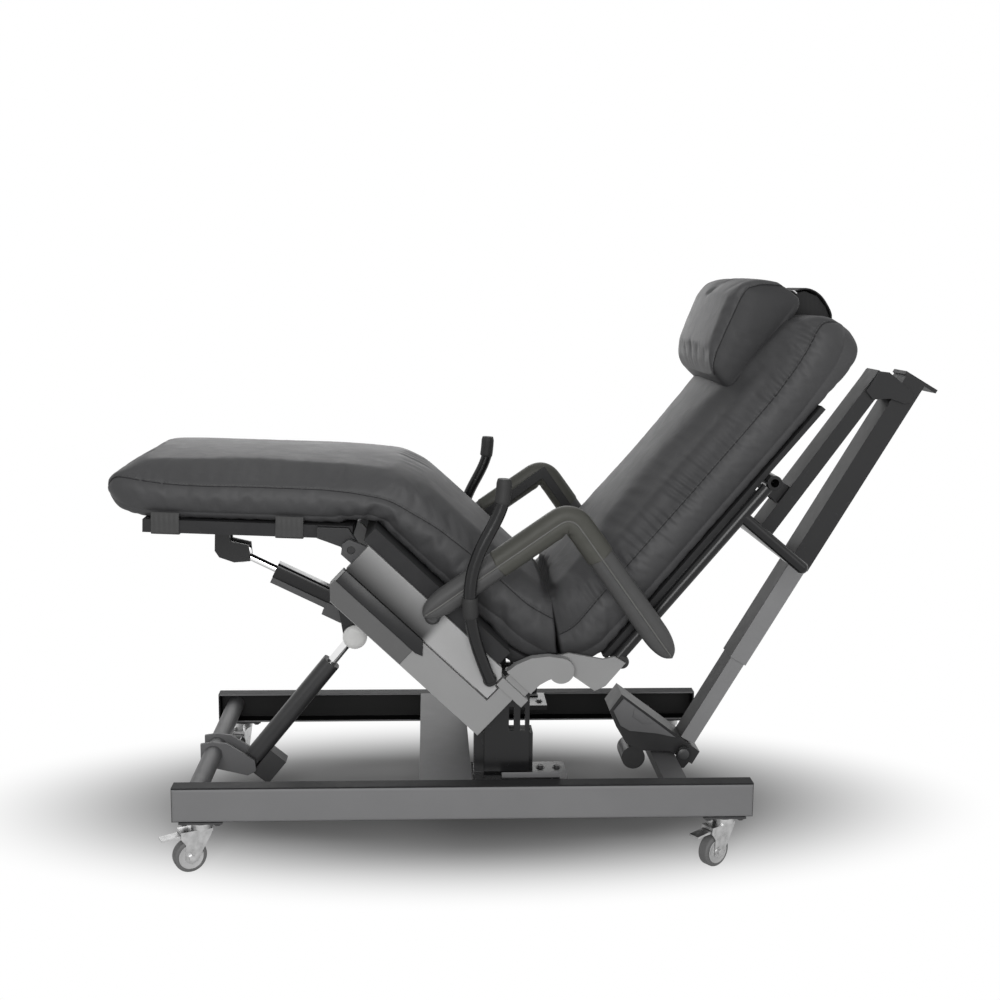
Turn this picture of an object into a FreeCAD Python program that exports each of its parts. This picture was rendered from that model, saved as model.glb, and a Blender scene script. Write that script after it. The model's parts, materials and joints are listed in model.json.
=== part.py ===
import FreeCAD, Part
import math
import os
import Sketcher

# Zero gravity chair, millimetres, +Z up.
# +X runs from the foot end to the head end, +Y runs from the near side to the far side.
# The floor is Z = 0 and the base frame is centred on X = base_mid_x.

Vec = FreeCAD.Vector
Place = FreeCAD.Placement
Turn = FreeCAD.Rotation

doc = FreeCAD.newDocument("zero_gravity_chair")
sheet = doc.addObject("Spreadsheet::Sheet", "dims")

# Driving dimensions. Lengths are in millimetres, angles in degrees.
dims = dict(
    base_mid_x=-156.5,
    # base frame
    rail_len=1164.0, rail_high=70.0, rail_wide=40.0, rail_wall=4.0, rail_low=102.0, rail_round=6.0,
    base_half=340.0,
    front_tube_rad=20.0, front_tube_bore=17.0, front_tube_inset=37.0, front_tube_z=137.0,
    rear_beam_x=424.0, rear_beam_wide=50.0, rear_beam_high=24.0, rear_beam_wall=3.0,
    cross_plate_x=-92.0, cross_plate_wide=106.0, cross_plate_lip=40.0, cross_plate_wall=6.0,
    # pedestals that carry the main pivots
    foot_x=14.2, foot_long=195.0, foot_thick=12.0, foot_wide=103.7,
    post_x=20.0, post_long=120.0, post_high=83.0, post_wide=49.0,
    pivot_x=192.0, pivot_z=397.0, pivot_rad=11.0, pivot_eye=26.0,
    pivot_arm_thick=10.0, pivot_arm_in=254.0,
    # layers of the three plates on the main pivot, measured out from the middle plane
    plate_play=2.0, back_plate_thick=8.0, beam_thick=24.0, pivot_pin_depth=20.0,
    run_fit=0.05, seat_gap=0.3,
    # castors
    castor_inset=57.0, castor_trail=26.0, wheel_rad=33.0, wheel_wide=24.0, wheel_bore=6.0,
    castor_plate_long=86.0, castor_plate_wide=38.0, castor_plate_thick=4.0, castor_bolt_rad=5.0,
    raceway_rad=21.0, raceway_high=11.0, fork_thick=3.0, fork_in=13.0,
    # seat frame, in a frame whose X axis runs down the seat towards the main pivot
    seat_slope=43.3,
    beam_toe=31.0, beam_inner=67.0, beam_end=458.0, beam_cut=433.0, beam_low=211.0, beam_heel=185.0,
    beam_top=146.0, arm_top=109.0,
    plate_end=454.0, plate_start=92.0, plate_top=77.0, plate_low=142.0,
    cover_start=247.0, cover_thick=3.0, cover_top=172.0,
    collar_start=8.0, collar_end=77.0, collar_low=108.7, collar_top=89.0,
    cross_tube_rad=20.0, cross_tube_bore=17.0, upper_cross=335.0, lower_cross=150.0, cross_drop=178.0,
    lug_in=26.0, lug_thick=8.0, lug_pin_rad=8.0,
    board_start=100.0, board_end=468.0, board_over=16.0, board_top=44.0,
    seat_top=66.0,
    # knee, leg rest and its board
    knee_x=-227.0, knee_z=639.0, knee_pin_rad=8.0, knee_lug_thick=14.0, knee_eye=20.0,
    leg_slope=2.0, leg_board_long=415.0, leg_board_low=16.0, leg_board_top=42.0,
    leg_play=8.0, leg_lug_thick=14.0,
    leg_top=150.0,
    strap_wide=55.0, strap_thick=2.5, strap_one=343.0, strap_two=98.0, strap_wrap=60.0,
    # back rest, in a frame whose X axis runs up the back from the main pivot
    back_slope=50.0,
    back_tube_rad=12.5, back_tube_v=81.5, back_tube_y=253.2, back_tube_start=60.0, back_tube_end=546.4,
    stub_u=470.0, stub_v=247.0,
    eye_tube_rad=15.0, eye_tube_bore=8.5, eye_tube_u=562.0, eye_tube_v=84.0, eye_tube_half=268.0,
    rear_bar_v=234.8, rear_bar_half=240.4,
    hanger_low_u=468.0, hanger_low_v=206.0, hanger_top_u=903.0, hanger_top_v=173.0,
    hanger_thick=32.0, hanger_half=41.5, hanger_wall=3.0, fork_plate_thick=6.0,
    back_board_start=70.0, back_board_end=740.0, back_board_low=68.7, back_board_thick=10.7,
    back_board_half=245.0,
    back_cushion_rear=57.7, back_front=88.0, back_crown=106.0, flap_half=70.0,
    # arm rests
    arm_pivot_a=267.0, arm_pivot_b=-93.0, arm_pin_rad=8.0, arm_play=4.0, arm_bar_thick=6.0,
    pad_offset=27.2, arm_pin_over=1.0,
    # assist handles
    handle_rad=12.5, handle_boss=14.0,
    # linear actuators
    tilt_foot_reach=73.0, tilt_foot_z=107.0, tilt_head_a=313.0, tilt_head_b=-288.0, tilt_body_start=24.0,
    tilt_body_end=295.0, tilt_body_thick=40.0, tilt_body_wide=44.0, case_round=15.0,
    tilt_rod_rad=10.5, knuckle_rad=26.0, tilt_rod_tail=150.0, tilt_bore_start=92.0,
    leg_foot_a=367.0, leg_foot_b=-249.0, leg_eye_p=247.0, leg_eye_q=-68.0, leg_body_end=176.0,
    leg_body_thick=30.0, leg_strip=15.0, leg_rod_rad=8.0, leg_rod_tail=84.0, leg_bore_start=36.0,
    head_play=4.0, eye_half=20.0, eye_lug_in=18.0,
    # telescopic mast
    mast_x=490.0, mast_z=138.0, mast_slope=59.7, mast_pin_rad=10.0,
    lower_thick=34.0, lower_wide=68.0, mid_thick=40.0, mid_wide=74.0, upper_thick=47.0, upper_wide=81.0,
    lower_start=26.2, lower_end=367.0, mid_start=237.0, mid_end=616.0, upper_start=486.0, upper_end=957.0,
    slide_fit=0.3, lower_wall=3.0, mast_cap=8.0, housing_half=45.0, motor_rad=26.0,
)
# Sizes that follow from the ones above, as formulas in the same sheet.
derived = dict(
    castor_x="rail_len/2 - castor_inset",
    castor_y="base_half - rail_wide/2",
    front_tube_x="rail_len/2 - front_tube_inset",
    tilt_foot_x="tilt_foot_reach - front_tube_x",
    back_plate_in="pivot_arm_in + pivot_arm_thick + plate_play",
    beam_in="back_plate_in + back_plate_thick + plate_play",
    pivot_pin_end="beam_in + pivot_pin_depth",
    board_half="beam_in + board_over",
    knee_lug_in="beam_in - knee_lug_thick",
    leg_lug_in="knee_lug_in - leg_play - leg_lug_thick",
    leg_half="leg_lug_in",
    arm_in="beam_in + beam_thick + arm_play",
    arm_pin_end="arm_in + arm_bar_thick + arm_pin_over",
    pad_mid="arm_in + pad_offset",
    mid_wall="(mid_thick - lower_thick)/2 - slide_fit",
    upper_wall="(upper_thick - mid_thick)/2 - slide_fit",
    hanger_wide="2*hanger_half",
    hanger_rise="hanger_low_v - hanger_top_v",
    hanger_run="hanger_top_u - hanger_low_u",
    hanger_long="sqrt(hanger_rise^2 + hanger_run^2)",
)
entries = {**dims, **derived}
for row, alias in enumerate(entries, start=1):
    sheet.set("A%d" % row, alias)
    sheet.setAlias("B%d" % row, alias)
for row, value in enumerate(entries.values(), start=1):
    sheet.set("B%d" % row, "=" + value if isinstance(value, str) else str(value))
doc.recompute()
for alias in derived:
    dims[alias] = float(sheet.get(alias))
hanger_lean = math.degrees(math.atan2(dims["hanger_rise"], dims["hanger_run"]))


class Named:
    """The same values as plain Python numbers, for positions."""


val = Named()
for alias, value in dims.items():
    setattr(val, alias, value)


def turn_y(angle):
    return Turn(Vec(0, 1, 0), angle)


# Local frames. Each one lies in the middle plane of the chair.
base = Place(Vec(val.base_mid_x, 0, 0), Turn())
hub = Vec(val.base_mid_x + val.pivot_x, 0, val.pivot_z)
seat = Place(hub, turn_y(val.seat_slope))
back = Place(hub, turn_y(-val.back_slope))
knee = Vec(val.base_mid_x + val.knee_x, 0, val.knee_z)
leg = Place(knee, turn_y(val.leg_slope))
mast_foot = Vec(val.base_mid_x + val.mast_x, 0, val.mast_z)
mast = Place(mast_foot, turn_y(-val.mast_slope))
tilt_foot = Vec(val.base_mid_x + val.tilt_foot_x, 0, val.tilt_foot_z)
tilt_head = seat.multVec(Vec(-val.tilt_head_a, 0, val.tilt_head_b))
leg_foot = seat.multVec(Vec(-val.leg_foot_a, 0, val.leg_foot_b))
leg_eye = leg.multVec(Vec(-val.leg_eye_p, 0, val.leg_eye_q))


def along(start, end):
    """A frame at start whose X axis points at end."""
    run = end - start
    return Place(start, turn_y(-math.degrees(math.atan2(run.z, run.x))))


tilt = along(tilt_foot, tilt_head)
tilt_reach = (tilt_head - tilt_foot).Length
legact = along(leg_foot, leg_eye)
leg_reach = (leg_eye - leg_foot).Length

nodes = {}
count = [0]


def fresh(stem):
    count[0] += 1
    return "%s_%03d" % (stem, count[0])


def bind(obj, prop, text):
    """Bind a property to the sheet. Every word in the text is an alias."""
    parts = []
    word = ""
    for char in text + " ":
        if char.isalpha() or char == "_" or (word and char.isdigit()):
            word += char
            continue
        if word:
            parts.append("dims." + word)
            word = ""
        parts.append(char)
    obj.setExpression(prop, "".join(parts).strip())


def box(frame, corner, size):
    """A block with its low corner given, sizes as sheet expressions."""
    obj = doc.addObject("Part::Box", fresh("block"))
    for prop, text in zip(("Length", "Width", "Height"), size):
        bind(obj, prop, text)
    obj.Placement = frame.multiply(Place(Vec(*corner), Turn()))
    return obj


AXES = {"x": Turn(Vec(0, 1, 0), 90), "y": Turn(Vec(1, 0, 0), -90), "z": Turn()}


def rod(frame, start, axis, radius, length):
    """A round bar from start along +axis, radius and length as sheet expressions."""
    obj = doc.addObject("Part::Cylinder", fresh("bar"))
    bind(obj, "Radius", radius)
    bind(obj, "Height", length)
    obj.Placement = frame.multiply(Place(Vec(*start), AXES[axis]))
    return obj


def number(text):
    """The value of an outline coordinate: a number, an alias or a minus sign and an alias."""
    if isinstance(text, (int, float)):
        return float(text)
    if text.startswith("-"):
        return -dims[text[1:]]
    return dims[text]


def outline(frame, points, level):
    """A closed outline in the XZ plane at Y = level, each corner held by the sheet or a number."""
    sketch = doc.addObject("Sketcher::SketchObject", fresh("outline"))
    sketch.Placement = frame.multiply(Place(Vec(0, level, 0), Turn(Vec(1, 0, 0), 90)))
    spots = [Vec(number(x), number(z), 0) for x, z in points]
    for first, second in zip(spots, spots[1:] + spots[:1]):
        sketch.addGeometry(Part.LineSegment(first, second), False)
    total = len(spots)
    for index in range(total):
        before = (index - 1) % total
        sketch.addConstraint(Sketcher.Constraint("Coincident", before, 2, index, 1))
        for kind, coord in zip(("DistanceX", "DistanceY"), points[index]):
            held = sketch.addConstraint(Sketcher.Constraint(kind, -1, 1, index, 1, number(coord)))
            if isinstance(coord, str):
                bind(sketch, "Constraints[%d]" % held, coord)
    return sketch


def prism(frame, points, level, thick):
    """An outline extruded from Y = level towards -Y by a sheet expression."""
    obj = doc.addObject("Part::Extrusion", fresh("prism"))
    obj.Base = outline(frame, points, level)
    obj.DirMode = "Normal"
    obj.Solid = True
    bind(obj, "LengthFwd", thick)
    return obj


def fuse(*parts):
    obj = doc.addObject("Part::MultiFuse", fresh("joined"))
    obj.Shapes = list(parts)
    obj.Refine = True
    return obj


def cut(body, *tools):
    obj = doc.addObject("Part::Cut", fresh("cut"))
    obj.Base = body
    obj.Tool = tools[0] if len(tools) == 1 else fuse(*tools)
    return obj


def group(*parts):
    obj = doc.addObject("Part::Compound", fresh("group"))
    obj.Links = list(parts)
    return obj


def rounded(body, radius, wanted):
    """Fillet the straight edges that wanted(edge) picks, radius from the sheet."""
    doc.recompute()
    size = dims[radius]
    picked = [n for n, edge in enumerate(body.Shape.Edges, start=1) if wanted(edge)]
    obj = doc.addObject("Part::Fillet", fresh("rounded"))
    obj.Base = body
    obj.Edges = [(n, size, size) for n in picked]
    return obj


def section(frame, low, high, half, crown, bulge, tuck):
    """One cushion section from low to high (x, z): flat underside, bowed sides, crowned top."""
    lean = Vec(high[0] - low[0], 0, high[1] - low[1])
    rise = lean.Length
    angle = math.degrees(math.atan2(lean.x, lean.z))
    sketch = doc.addObject("Sketcher::SketchObject", fresh("section"))
    upright = Turn(Vec(0, 0, 1), 90).multiply(Turn(Vec(1, 0, 0), 90))
    sketch.Placement = frame.multiply(Place(Vec(low[0], 0, low[1]), turn_y(angle).multiply(upright)))
    left_low, right_low = Vec(-half, 0, 0), Vec(half, 0, 0)
    left_top, right_top = Vec(-half + tuck, rise, 0), Vec(half - tuck, rise, 0)
    side = Vec(half + bulge, rise * 0.5, 0)
    sketch.addGeometry(Part.LineSegment(left_low, right_low), False)
    sketch.addGeometry(Part.Arc(right_low, side, right_top), False)
    sketch.addGeometry(Part.Arc(right_top, Vec(0, rise + crown, 0), left_top), False)
    sketch.addGeometry(Part.Arc(left_top, Vec(-side.x, side.y, 0), left_low), False)
    for edge in range(4):
        sketch.addConstraint(Sketcher.Constraint("Coincident", edge, 2, (edge + 1) % 4, 1))
    return sketch


def cushion(frame, rows):
    """A cushion lofted through its sections, one row each."""
    obj = doc.addObject("Part::Loft", fresh("cushion"))
    obj.Sections = [section(frame, *row) for row in rows]
    obj.Solid = True
    obj.Ruled = True
    return obj


def square_tube(frame, start, length, thick, wide, wall):
    """A rectangular tube along local X and centred on it, every size an alias or an expression."""
    outer = box(frame, (start, -dims[wide] / 2, -dims[thick] / 2), (length, wide, thick))
    corner = (start, dims[wall] - dims[wide] / 2, dims[wall] - dims[thick] / 2)
    inner = box(frame, corner, (length, "%s - 2*%s" % (wide, wall), "%s - 2*%s" % (thick, wall)))
    return cut(outer, inner)


SIDES = (("near", -1), ("far", 1))


def outer_level(side, inner, thick):
    """The Y level an extrusion starts from so that it fills inner..inner+thick on its side."""
    return inner + thick if side > 0 else -inner


# Base frame: two channel rails that open inwards, a round front tube and two cross members.
rail_top = val.rail_low + val.rail_high
web_in = val.base_half - val.rail_wall
for name, side in SIDES:
    low_y = -val.base_half if side < 0 else val.base_half - val.rail_wide
    outer = box(base, (-val.rail_len / 2, low_y, val.rail_low), ("rail_len", "rail_wide", "rail_high"))
    hollow_y = low_y + val.rail_wall if side < 0 else low_y
    hollow_at = (val.rail_wall - val.rail_len / 2, hollow_y, val.rail_low + val.rail_wall)
    hollow_size = ("rail_len - 2*rail_wall", "rail_wide - rail_wall", "rail_high - 2*rail_wall")
    channel = cut(outer, box(base, hollow_at, hollow_size))

    def on_outer_face(edge):
        return all(abs(abs(v.Y) - val.base_half) < 0.01 for v in edge.Vertexes)

    nodes[name + "_rail"] = rounded(channel, "rail_round", on_outer_face)

# Front tube with the two lugs and the pin that carry the tilt actuator.
tube_at = (-val.front_tube_x, -web_in, val.front_tube_z)
tube_long = "2*(base_half - rail_wall)"
lug_outline = [(-27, 118), (-27, 160), (0, 164), (30, 160), (90, 122), (93, 98), (75, 88), (0, 106)]
tilt_lug = [(x - val.front_tube_x, z) for x, z in lug_outline]
tilt_lugs = [prism(base, tilt_lug, outer_level(side, val.lug_in, val.lug_thick), "lug_thick")
             for name, side in SIDES]
pin_half = val.lug_in + val.lug_thick
lug_pin_long = "2*(lug_in + lug_thick)"
tilt_pin = rod(base, (val.tilt_foot_x, -pin_half, val.tilt_foot_z), "y", "lug_pin_rad", lug_pin_long)
front_tube = fuse(rod(base, tube_at, "y", "front_tube_rad", tube_long), *tilt_lugs, tilt_pin)
nodes["front_cross_tube"] = cut(front_tube, rod(base, tube_at, "y", "front_tube_bore", tube_long))

# Rear cross beam, a flat box tube between the webs of the rails.
beam_z = val.rail_low + val.rail_wall
rear_beam = box(base, (val.rear_beam_x, -web_in, beam_z), ("rear_beam_wide", tube_long, "rear_beam_high"))
hollow_at = (val.rear_beam_x + val.rear_beam_wall, -web_in, beam_z + val.rear_beam_wall)
hollow_size = ("rear_beam_wide - 2*rear_beam_wall", tube_long, "rear_beam_high - 2*rear_beam_wall")
nodes["rear_cross_beam"] = cut(rear_beam, box(base, hollow_at, hollow_size))

# Centre cross plate, flush with the rail tops, with a lip turned down on each long edge.
plate_half = val.base_half - val.rail_wide - val.seat_gap
plate_long = "2*(base_half - rail_wide - seat_gap)"
sheet_at = (val.cross_plate_x, -plate_half, rail_top - val.cross_plate_wall)
lip_z = rail_top - val.cross_plate_lip
lip_size = ("cross_plate_wall", plate_long, "cross_plate_lip")
far_lip_x = val.cross_plate_x + val.cross_plate_wide - val.cross_plate_wall
nodes["centre_cross_plate"] = fuse(
    box(base, sheet_at, ("cross_plate_wide", plate_long, "cross_plate_wall")),
    box(base, (val.cross_plate_x, -plate_half, lip_z), lip_size),
    box(base, (far_lip_x, -plate_half, lip_z), lip_size))

# Pedestals: foot, post and a curved arm plate that carries the main pivot.
pivot_arm = [(40, 176), (132, 176), (132, 345), (152, 371), (180, 374), (200, 421), (170, 424),
             (130, 412), (96, 388), (84, 330), (40, 300)]
arm_slots = ((90.0, 262.0), (113.0, 262.0))
dims_eye = "pivot_rad + run_fit"
for name, side in SIDES:
    foot_out = plate_half
    foot_y = -foot_out if side < 0 else foot_out - val.foot_wide
    post_y = -val.pivot_arm_in if side < 0 else val.pivot_arm_in - val.post_wide
    arm_level = outer_level(side, val.pivot_arm_in, val.pivot_arm_thick)
    eye_y = arm_level - val.pivot_arm_thick
    body = fuse(
        box(base, (val.foot_x, foot_y, rail_top - val.foot_thick), ("foot_long", "foot_wide", "foot_thick")),
        box(base, (val.post_x, post_y, rail_top), ("post_long", "post_wide", "post_high")),
        prism(base, pivot_arm, arm_level, "pivot_arm_thick"),
        rod(base, (val.pivot_x, eye_y, val.pivot_z), "y", "pivot_eye", "pivot_arm_thick"))
    slots = [box(base, (x, eye_y, z), ("pivot_arm_thick", "pivot_arm_thick", "5*pivot_arm_thick"))
             for x, z in arm_slots]
    hole = rod(base, (val.pivot_x, eye_y, val.pivot_z), "y", dims_eye, "pivot_arm_thick")
    nodes[name + "_pedestal"] = cut(body, hole, *slots)

# Mast foot lugs behind the rear beam, and the pins of the base in one node.
mast_lug_in = val.housing_half + 7.0
lug_edge = val.rear_beam_x + val.rear_beam_wide
mast_lug = [(lug_edge, 106), (lug_edge, 129), (480, 150), (490, 155),
            (503, 150), (507, 138), (502, 118), (492, 106)]
mast_lugs = []
for name, side in SIDES:
    level = outer_level(side, mast_lug_in, val.lug_thick)
    hole_at = (val.mast_x, level - val.lug_thick, val.mast_z)
    lug = prism(base, mast_lug, level, "lug_thick")
    mast_lugs.append(cut(lug, rod(base, hole_at, "y", "mast_pin_rad + run_fit", "lug_thick")))
nodes["mast_foot_lugs"] = group(*mast_lugs)
pins = [rod(base, (val.mast_x, -mast_lug_in - val.lug_thick, val.mast_z), "y", "mast_pin_rad",
            "2*(housing_half + 7 + lug_thick)")]
for name, side in SIDES:
    start = -val.pivot_pin_end if side < 0 else val.pivot_arm_in
    pin_at = (val.pivot_x, start, val.pivot_z)
    pins.append(rod(base, pin_at, "y", "pivot_rad", "pivot_pin_end - pivot_arm_in"))
nodes["pivot_pins"] = group(*pins)

# Castors: plates and king bolts on the base, then fork, wheel and pedal for each corner.
CORNERS = (("near_foot", -1, -1, 25.0), ("near_head", 1, -1, 35.0),
           ("far_foot", -1, 1, 80.0), ("far_head", 1, 1, -20.0))
plate_z = val.rail_low - val.castor_plate_thick
fork_top = plate_z - val.seat_gap
web_top = fork_top - val.raceway_high
web_thick = 6.0
fork_across = "2*(fork_in + fork_thick)"
pedal_x, pedal_z, pedal_pin = -40.0, 77.0, "fork_thick"
fork_leg = [(18, web_top), (14, 74), (-14, 25), (-26, 19), (-38, 26), (-37, 60), (-46, 72), (-46, web_top)]
pedal_plate = [(-36, 74), (-36, 79.5), (-44, 79.8), (-84, 76), (-84, 72), (-60, 74)]
plates = []
for name, end, side, swivel in CORNERS:
    spot = Vec(val.base_mid_x + end * val.castor_x, side * val.castor_y, 0)
    fixed = Place(spot, Turn())
    plate_at = (-val.castor_plate_long / 2, -val.castor_plate_wide / 2, plate_z)
    plate_size = ("castor_plate_long", "castor_plate_wide", "castor_plate_thick")
    bolt = rod(fixed, (0, 0, web_top), "z", "castor_bolt_rad", "raceway_high + seat_gap")
    plates.append(fuse(box(fixed, plate_at, plate_size), bolt))
    turned = Place(spot, Turn(Vec(0, 0, 1), swivel))
    legs = [prism(turned, fork_leg, outer_level(half, val.fork_in, val.fork_thick), "fork_thick")
            for half in (-1, 1)]
    fork_half = val.fork_in + val.fork_thick
    web = box(turned, (-46, -fork_half, web_top - web_thick), ("64", "2*(fork_in + fork_thick)", "6"))
    raceway = rod(turned, (0, 0, web_top), "z", "raceway_rad", "raceway_high")
    axle_at = (-val.castor_trail, -fork_half, val.wheel_rad)
    axle = rod(turned, axle_at, "y", "wheel_bore", fork_across)
    bolt_hole = rod(turned, (0, 0, web_top - web_thick), "z", "castor_bolt_rad + run_fit", "raceway_high + 6")
    pin_at = (pedal_x, -fork_half, pedal_z)
    pin_hole = rod(turned, pin_at, "y", "fork_thick + run_fit", fork_across)
    nodes[name + "_fork"] = cut(fuse(*legs, web, raceway, axle), bolt_hole, pin_hole)
    wheel_at = (-val.castor_trail, -val.wheel_wide / 2, val.wheel_rad)
    wheel = cut(rod(turned, wheel_at, "y", "wheel_rad", "wheel_wide"),
                rod(turned, wheel_at, "y", "wheel_bore + run_fit", "wheel_wide"))

    def on_rim(edge):
        return len(edge.Vertexes) == 1 and abs(edge.Curve.Radius - val.wheel_rad) < 0.01

    nodes[name + "_wheel"] = rounded(wheel, "castor_bolt_rad", on_rim)
    tongue = prism(turned, pedal_plate, val.wheel_wide / 2, "wheel_wide")
    pedal_bar = rod(turned, pin_at, "y", pedal_pin, fork_across)
    nodes[name + "_pedal"] = fuse(tongue, pedal_bar)
nodes["castor_plates"] = group(*plates)

# Seat frame. Local X runs down the seat, so places up the seat are negative.
seat_beam = [("-beam_toe", "-beam_low"), ("-beam_cut", "-beam_low"), ("-beam_end", "-beam_heel"),
             ("-beam_end", "-beam_top"), ("-beam_inner", "-beam_top"), ("-beam_inner", "-arm_top"),
             ("-beam_toe", "-arm_top")]
side_plate = [("-plate_start", "-plate_top"), ("-plate_end", "-plate_top"), ("-plate_end", "-plate_low"),
              (-70, "-plate_low"), (-70, -114), (-80, -112), (-80, -90)]
knee_a = seat.inverse().multVec(knee)
knee_lug = [(-410, -130), (-410, -92), (-455, -86), (-488, -98), (-492, -114), (-480, -131)]
beam_cover = [("-cover_start", -209), (-434, -209), (-456, -187),
              (-456, "-cover_top"), ("-cover_start", "-cover_top")]
arch = [(-79, -76), (-75, -52), (-62, -22), (-40, 4), (-14, 22),
        (0, 0), (-2, -22), (-6, -31), (-12, -50), (-12, -76)]
beam_out = val.beam_in + val.beam_thick
covers, plates, arms = [], [], []
for name, side in SIDES:
    level = outer_level(side, val.beam_in, val.beam_thick)
    nodes[name + "_seat_beam"] = prism(seat, seat_beam, level, "beam_thick")
    spacer_y = -val.beam_in - val.beam_thick / 2 if side < 0 else val.beam_in
    spacer_at = (-430, spacer_y, -val.beam_top)
    spacer = box(seat, spacer_at, ("330", "beam_thick/2", "beam_top - plate_low"))
    lug_level = outer_level(side, val.knee_lug_in, val.beam_in - val.knee_lug_in)
    lug = prism(seat, knee_lug, lug_level, "beam_in - knee_lug_in")
    pin_hole = rod(seat, (knee_a.x, lug_level - 14.0, knee_a.z), "y", "knee_pin_rad + run_fit", "14")
    pin_y = -val.arm_pin_end if side < 0 else beam_out - 1.0
    pin_at = (-val.arm_pivot_a, pin_y, val.arm_pivot_b)
    arm_pin = rod(seat, pin_at, "y", "arm_pin_rad", "arm_pin_end - beam_in - beam_thick + 1")
    plates.append(fuse(prism(seat, side_plate, level, "beam_thick"), spacer, cut(lug, pin_hole), arm_pin))
    covers.append(prism(seat, beam_cover, outer_level(side, beam_out, val.cover_thick), "cover_thick"))
    collar_y = -beam_out - 4.0 if side < 0 else val.beam_in - 4.0
    collar = box(seat, (-val.collar_end, collar_y, -val.collar_low),
                 ("collar_end - collar_start", "beam_thick + 8", "collar_low - collar_top"))
    neck_y = -beam_out + 6.0 if side < 0 else val.beam_in + 4.0
    neck = box(seat, (-70, neck_y, -val.collar_top), ("54", "beam_thick - 10", "collar_top - 76"))
    eye = rod(seat, (0, level - val.beam_thick, 0), "y", "pivot_eye", "beam_thick")
    hole_y = -val.pivot_pin_end - 0.2 if side < 0 else val.beam_in
    hole = rod(seat, (0, hole_y, 0), "y", dims_eye, "pivot_pin_end - beam_in + 0.2")
    arms.append(cut(fuse(collar, neck, prism(seat, arch, level, "beam_thick"), eye), hole))
nodes["side_plates"] = group(*plates)
nodes["beam_covers"] = group(*covers)
nodes["seat_hinge_arms"] = group(*arms)

# Two cross tubes between the beams. The upper one carries the lugs and pins of both actuators.
act_lug = [(-310, -160), (-360, -160), (-392, -235), (-388, -262),
           (-330, -306), (-300, -306), (-292, -285), (-302, -200)]
tube_half = val.beam_in - 0.1
tube_run = "2*(beam_in - 0.1)"
solid_tubes, bores = [], []
for place in (val.upper_cross, val.lower_cross):
    at = (-place, -tube_half, -val.cross_drop)
    solid_tubes.append(rod(seat, at, "y", "cross_tube_rad", tube_run))
    bores.append(rod(seat, at, "y", "cross_tube_bore", tube_run))
act_lugs = [prism(seat, act_lug, outer_level(side, val.lug_in, val.lug_thick), "lug_thick")
            for name, side in SIDES]
act_pins = [rod(seat, (-a, -pin_half, b), "y", "lug_pin_rad", lug_pin_long)
            for a, b in ((val.tilt_head_a, val.tilt_head_b), (val.leg_foot_a, val.leg_foot_b))]
upper_tube = cut(fuse(solid_tubes[0], *act_lugs, *act_pins), bores[0])
nodes["seat_cross_tubes"] = group(upper_tube, cut(solid_tubes[1], bores[1]))

# Seat board on the side plates, and the seat cushion on the board.
board_low = -val.plate_top + val.seat_gap
nodes["seat_board"] = box(seat, (-val.board_end, -val.board_half, board_low),
                          ("board_end - board_start", "2*board_half", "plate_top - seat_gap - board_top"))
under = -val.board_top + val.seat_gap
top = val.seat_top
nodes["seat_cushion"] = cushion(seat, [
    ((-17, 20), (-93, top + 4), 224, 5, 3, 10), ((-30, -10), (-108, top + 8), 236, 9, 5, 16),
    ((-52, -32), (-124, top + 6), 243, 12, 6, 20), ((-90, under), (-146, top + 2), 246, 15, 6, 24),
    ((-150, under), (-186, top), 245, 17, 6, 24), ((-215, under), (-228, top), 242, 17, 6, 24),
    ((-280, under), (-280, top), 240, 18, 6, 24), ((-360, under), (-362, top), 242, 17, 6, 24),
    ((-430, under), (-438, top), 246, 16, 6, 24), ((-466, under), (-482, top - 4), 242, 12, 6, 20),
    ((-486, under), (-507, top - 12), 230, 7, 4, 14)])

# Assist handles: a bent tube that stands on a boss on the side plate.
handle_path = [(48, 313.5, 384), (20, 345, 465), (6, 369, 545), (10, 370, 610),
               (30, 370, 668), (62, 370, 733), (70, 370, 793)]
for name, side in SIDES:
    spots = [base.multVec(Vec(x, side * y, z)) for x, y, z in handle_path]
    curve = Part.BSplineCurve()
    curve.interpolate(spots)
    spine = doc.addObject("Part::Feature", fresh("spine"))
    spine.Shape = Part.Wire([curve.toShape()])
    ring = doc.addObject("Part::Circle", fresh("ring"))
    bind(ring, "Radius", "handle_rad")
    ring.Placement = Place(spots[0], Turn(Vec(0, 0, 1), curve.tangent(curve.FirstParameter)[0]))
    tube = doc.addObject("Part::Sweep", fresh("tube"))
    tube.Sections = [ring]
    tube.Spine = (spine, ["Edge1"])
    tube.Solid = True
    boss_y = -313.5 if side < 0 else beam_out
    boss = rod(base, (48, boss_y, 384), "y", "handle_boss", "13.5")
    nodes[name + "_assist_handle"] = fuse(tube, boss)

# Leg rest. Local X points at the knee, so places towards the foot are negative.
nodes["leg_board"] = box(leg, (-val.leg_board_long, -val.leg_half, val.leg_board_low),
                         ("leg_board_long", "2*leg_half", "leg_board_top - leg_board_low"))
under = val.leg_board_top + val.seat_gap
top = val.leg_top
nodes["leg_cushion"] = cushion(leg, [
    ((11, under), (31, top - 13), 230, 8, 4, 16), ((-16, under), (2, top - 4), 241, 15, 6, 22),
    ((-60, under), (-52, top), 246, 22, 6, 26), ((-140, under), (-136, top), 242, 23, 6, 26),
    ((-220, under), (-220, top), 240, 24, 6, 26), ((-310, under), (-312, top - 1), 242, 23, 6, 26),
    ((-390, under), (-400, top - 4), 244, 21, 6, 26), ((-432, under + 5), (-440, top - 11), 236, 16, 7, 23),
    ((-462, under + 14), (-467, top - 23), 221, 11, 7, 18),
    ((-478, under + 27), (-480, top - 33), 206, 7, 6, 13),
    ((-484, under + 39), (-485, top - 44), 192, 4, 4, 9)])
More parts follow.
